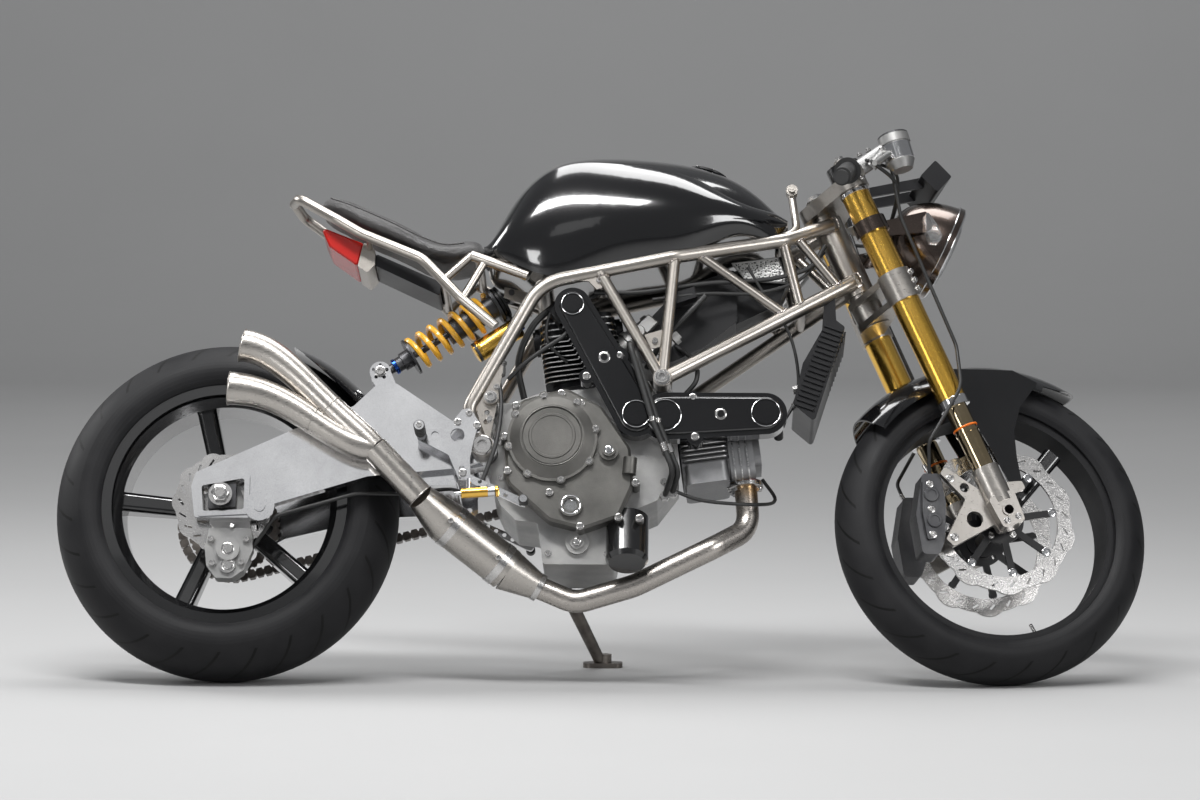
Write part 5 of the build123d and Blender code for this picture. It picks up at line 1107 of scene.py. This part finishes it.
def control_cables():
    cables = Piece("control_cables", RUBBER, "fork")
    for points, radius in (
        ([(20, -196, 708), (66, -150, 660), (60, -60, 620), (20, -30, 600)], 3.6),
        ([(16, -186, 716), (88, -120, 690), (80, -40, 640), (30, -20, 590)], 3.2),
        ([(20, 196, 708), (66, 150, 660), (60, 60, 620), (20, 30, 600)], 3.6),
        ([(110, 0, 560), (70, 10, 540), (50, 20, 520)], 4),
    ):
        cables.tube(points, radius)
    cables.done()


def headlight_parts():
    """The lamp's bright rim and the reflector behind its glass."""
    rim = Piece("headlight_rim", POLISHED, "fork")
    reflector = Piece("headlight_projector", CHROME, "fork")
    place = FORK.inverted() @ LAMP
    axis = (place.to_3x3() @ UP).normalized()
    rim.ring(place @ (UP * 12), axis, 90.5, 3.2, 72, 10)
    rim.ring(place @ UP, axis, 95.4, 1.2, 72, 6)
    rim.done()
    reflector.lathe(place @ (UP * 11.5), axis, PROJECTOR, 56)
    reflector.done()


for make in (
    padded_seat, fin_edges, engine_screws, cover_trim, throttle_bodies, leads, oil_unions, cooler,
    intake_mesh, filler_cap, seat_seams, weld_beads, frame_bolts, exhaust_fittings, shock_fittings,
    rear_nuts, foot_controls, rear_wheel_nuts, disc_fittings, fork_fittings, control_cables,
    headlight_parts,
):
    make()


# Stage: floor, light and camera, in metres

FLOOR_NEAR, FLOOR_DEPTH, FLOOR_HALF = -16.0, 10.5, 20.0
SWEEP_RADIUS, SWEEP_TOP, SWEEP_STEPS = 3.5, 11.0, 12
FLOOR_GREY = (0.385, 0.385, 0.385)
SKY, SKY_STRENGTH = (0.9, 0.92, 0.95, 1), 0.22
CAMERA_PLACE, CAMERA_PITCH, CAMERA_YAW = (0.182, -8.807, 1.014), 86.79, 1.21
LENS, SENSOR = 138.04, 36

# name, place, what it points at, size, watts
LIGHTS = (
    ("key", (-1.0, -2.0, 4.4), (0, 0, 0.5), (3.8, 0.7), 250),
    ("gleam", (-1.35, -5.2, 4.0), (-0.5, 0, 0.4), (2.0, 1.1), 4.2),
    ("fill", (4.2, -4.6, 2.6), (0.2, 0, 0.5), (1.6, 2.4), 120),
    ("low", (-3.6, -5.2, 1.2), (-0.2, 0, 0.4), (1.2, 1.6), 55),
    ("top", (0.2, 1.2, 4.4), (0, 0, 0.5), (3.6, 1.8), 150),
    ("rim", (-4.4, 1.8, 2.6), (-0.2, 0, 0.6), (1.2, 2.0), 80),
    ("backdrop", (0, 5.0, 6.5), (0, 13.5, 2.5), (9.0, 1.5), 330),
)


def floor_paint():
    m = Nodes("floor_paint")
    shade = m.noise(1.3, 5)
    m.feed("Base Color", m.ramp(shade, [(0.3, FLOOR_GREY), (0.8, scaled(FLOOR_GREY, 1.03))]))
    m.set(Roughness=0.6)
    return m.material


def make_floor():
    """A floor that sweeps up behind the machine."""
    mesh = bpy.data.meshes.new("floor")
    bm = bmesh.new()
    profile = [(FLOOR_NEAR, 0.0), (FLOOR_DEPTH, 0.0)]
    for step in range(1, SWEEP_STEPS + 1):
        angle = radians(90 * step / SWEEP_STEPS)
        profile.append((FLOOR_DEPTH + SWEEP_RADIUS * sin(angle), SWEEP_RADIUS * (1 - cos(angle))))
    profile.append((FLOOR_DEPTH + SWEEP_RADIUS, SWEEP_TOP))
    rows = [[bm.verts.new((x, y, z)) for y, z in profile] for x in (-FLOOR_HALF, FLOOR_HALF)]
    for a, b, c, d in zip(rows[0], rows[0][1:], rows[1][1:], rows[1]):
        bm.faces.new((a, d, c, b)).smooth = True
    bm.to_mesh(mesh)
    bm.free()
    floor = added("floor", mesh)
    floor.data.materials.append(floor_paint())


def area_light(name, place, target, size, power):
    data = bpy.data.lights.new(name, "AREA")
    data.shape = "RECTANGLE"
    data.size, data.size_y = size
    data.energy = power
    light = added(name, data)
    light.location = place
    light.rotation_euler = (Vector(target) - Vector(place)).to_track_quat("-Z", "Y").to_euler()


def make_stage():
    make_floor()
    for light in LIGHTS:
        area_light(*light)
    scene = bpy.context.scene
    scene.world = scene.world or bpy.data.worlds.new("world")
    scene.world.use_nodes = True
    background = scene.world.node_tree.nodes["Background"]
    background.inputs["Color"].default_value = SKY
    background.inputs["Strength"].default_value = SKY_STRENGTH
    scene.view_settings.view_transform = "Standard"
    camera = added("camera", bpy.data.cameras.new("camera"))
    camera.location = CAMERA_PLACE
    camera.rotation_euler = (radians(CAMERA_PITCH), 0, radians(CAMERA_YAW))
    camera.data.lens = LENS
    camera.data.sensor_width = SENSOR
    scene.camera = camera


make_stage()
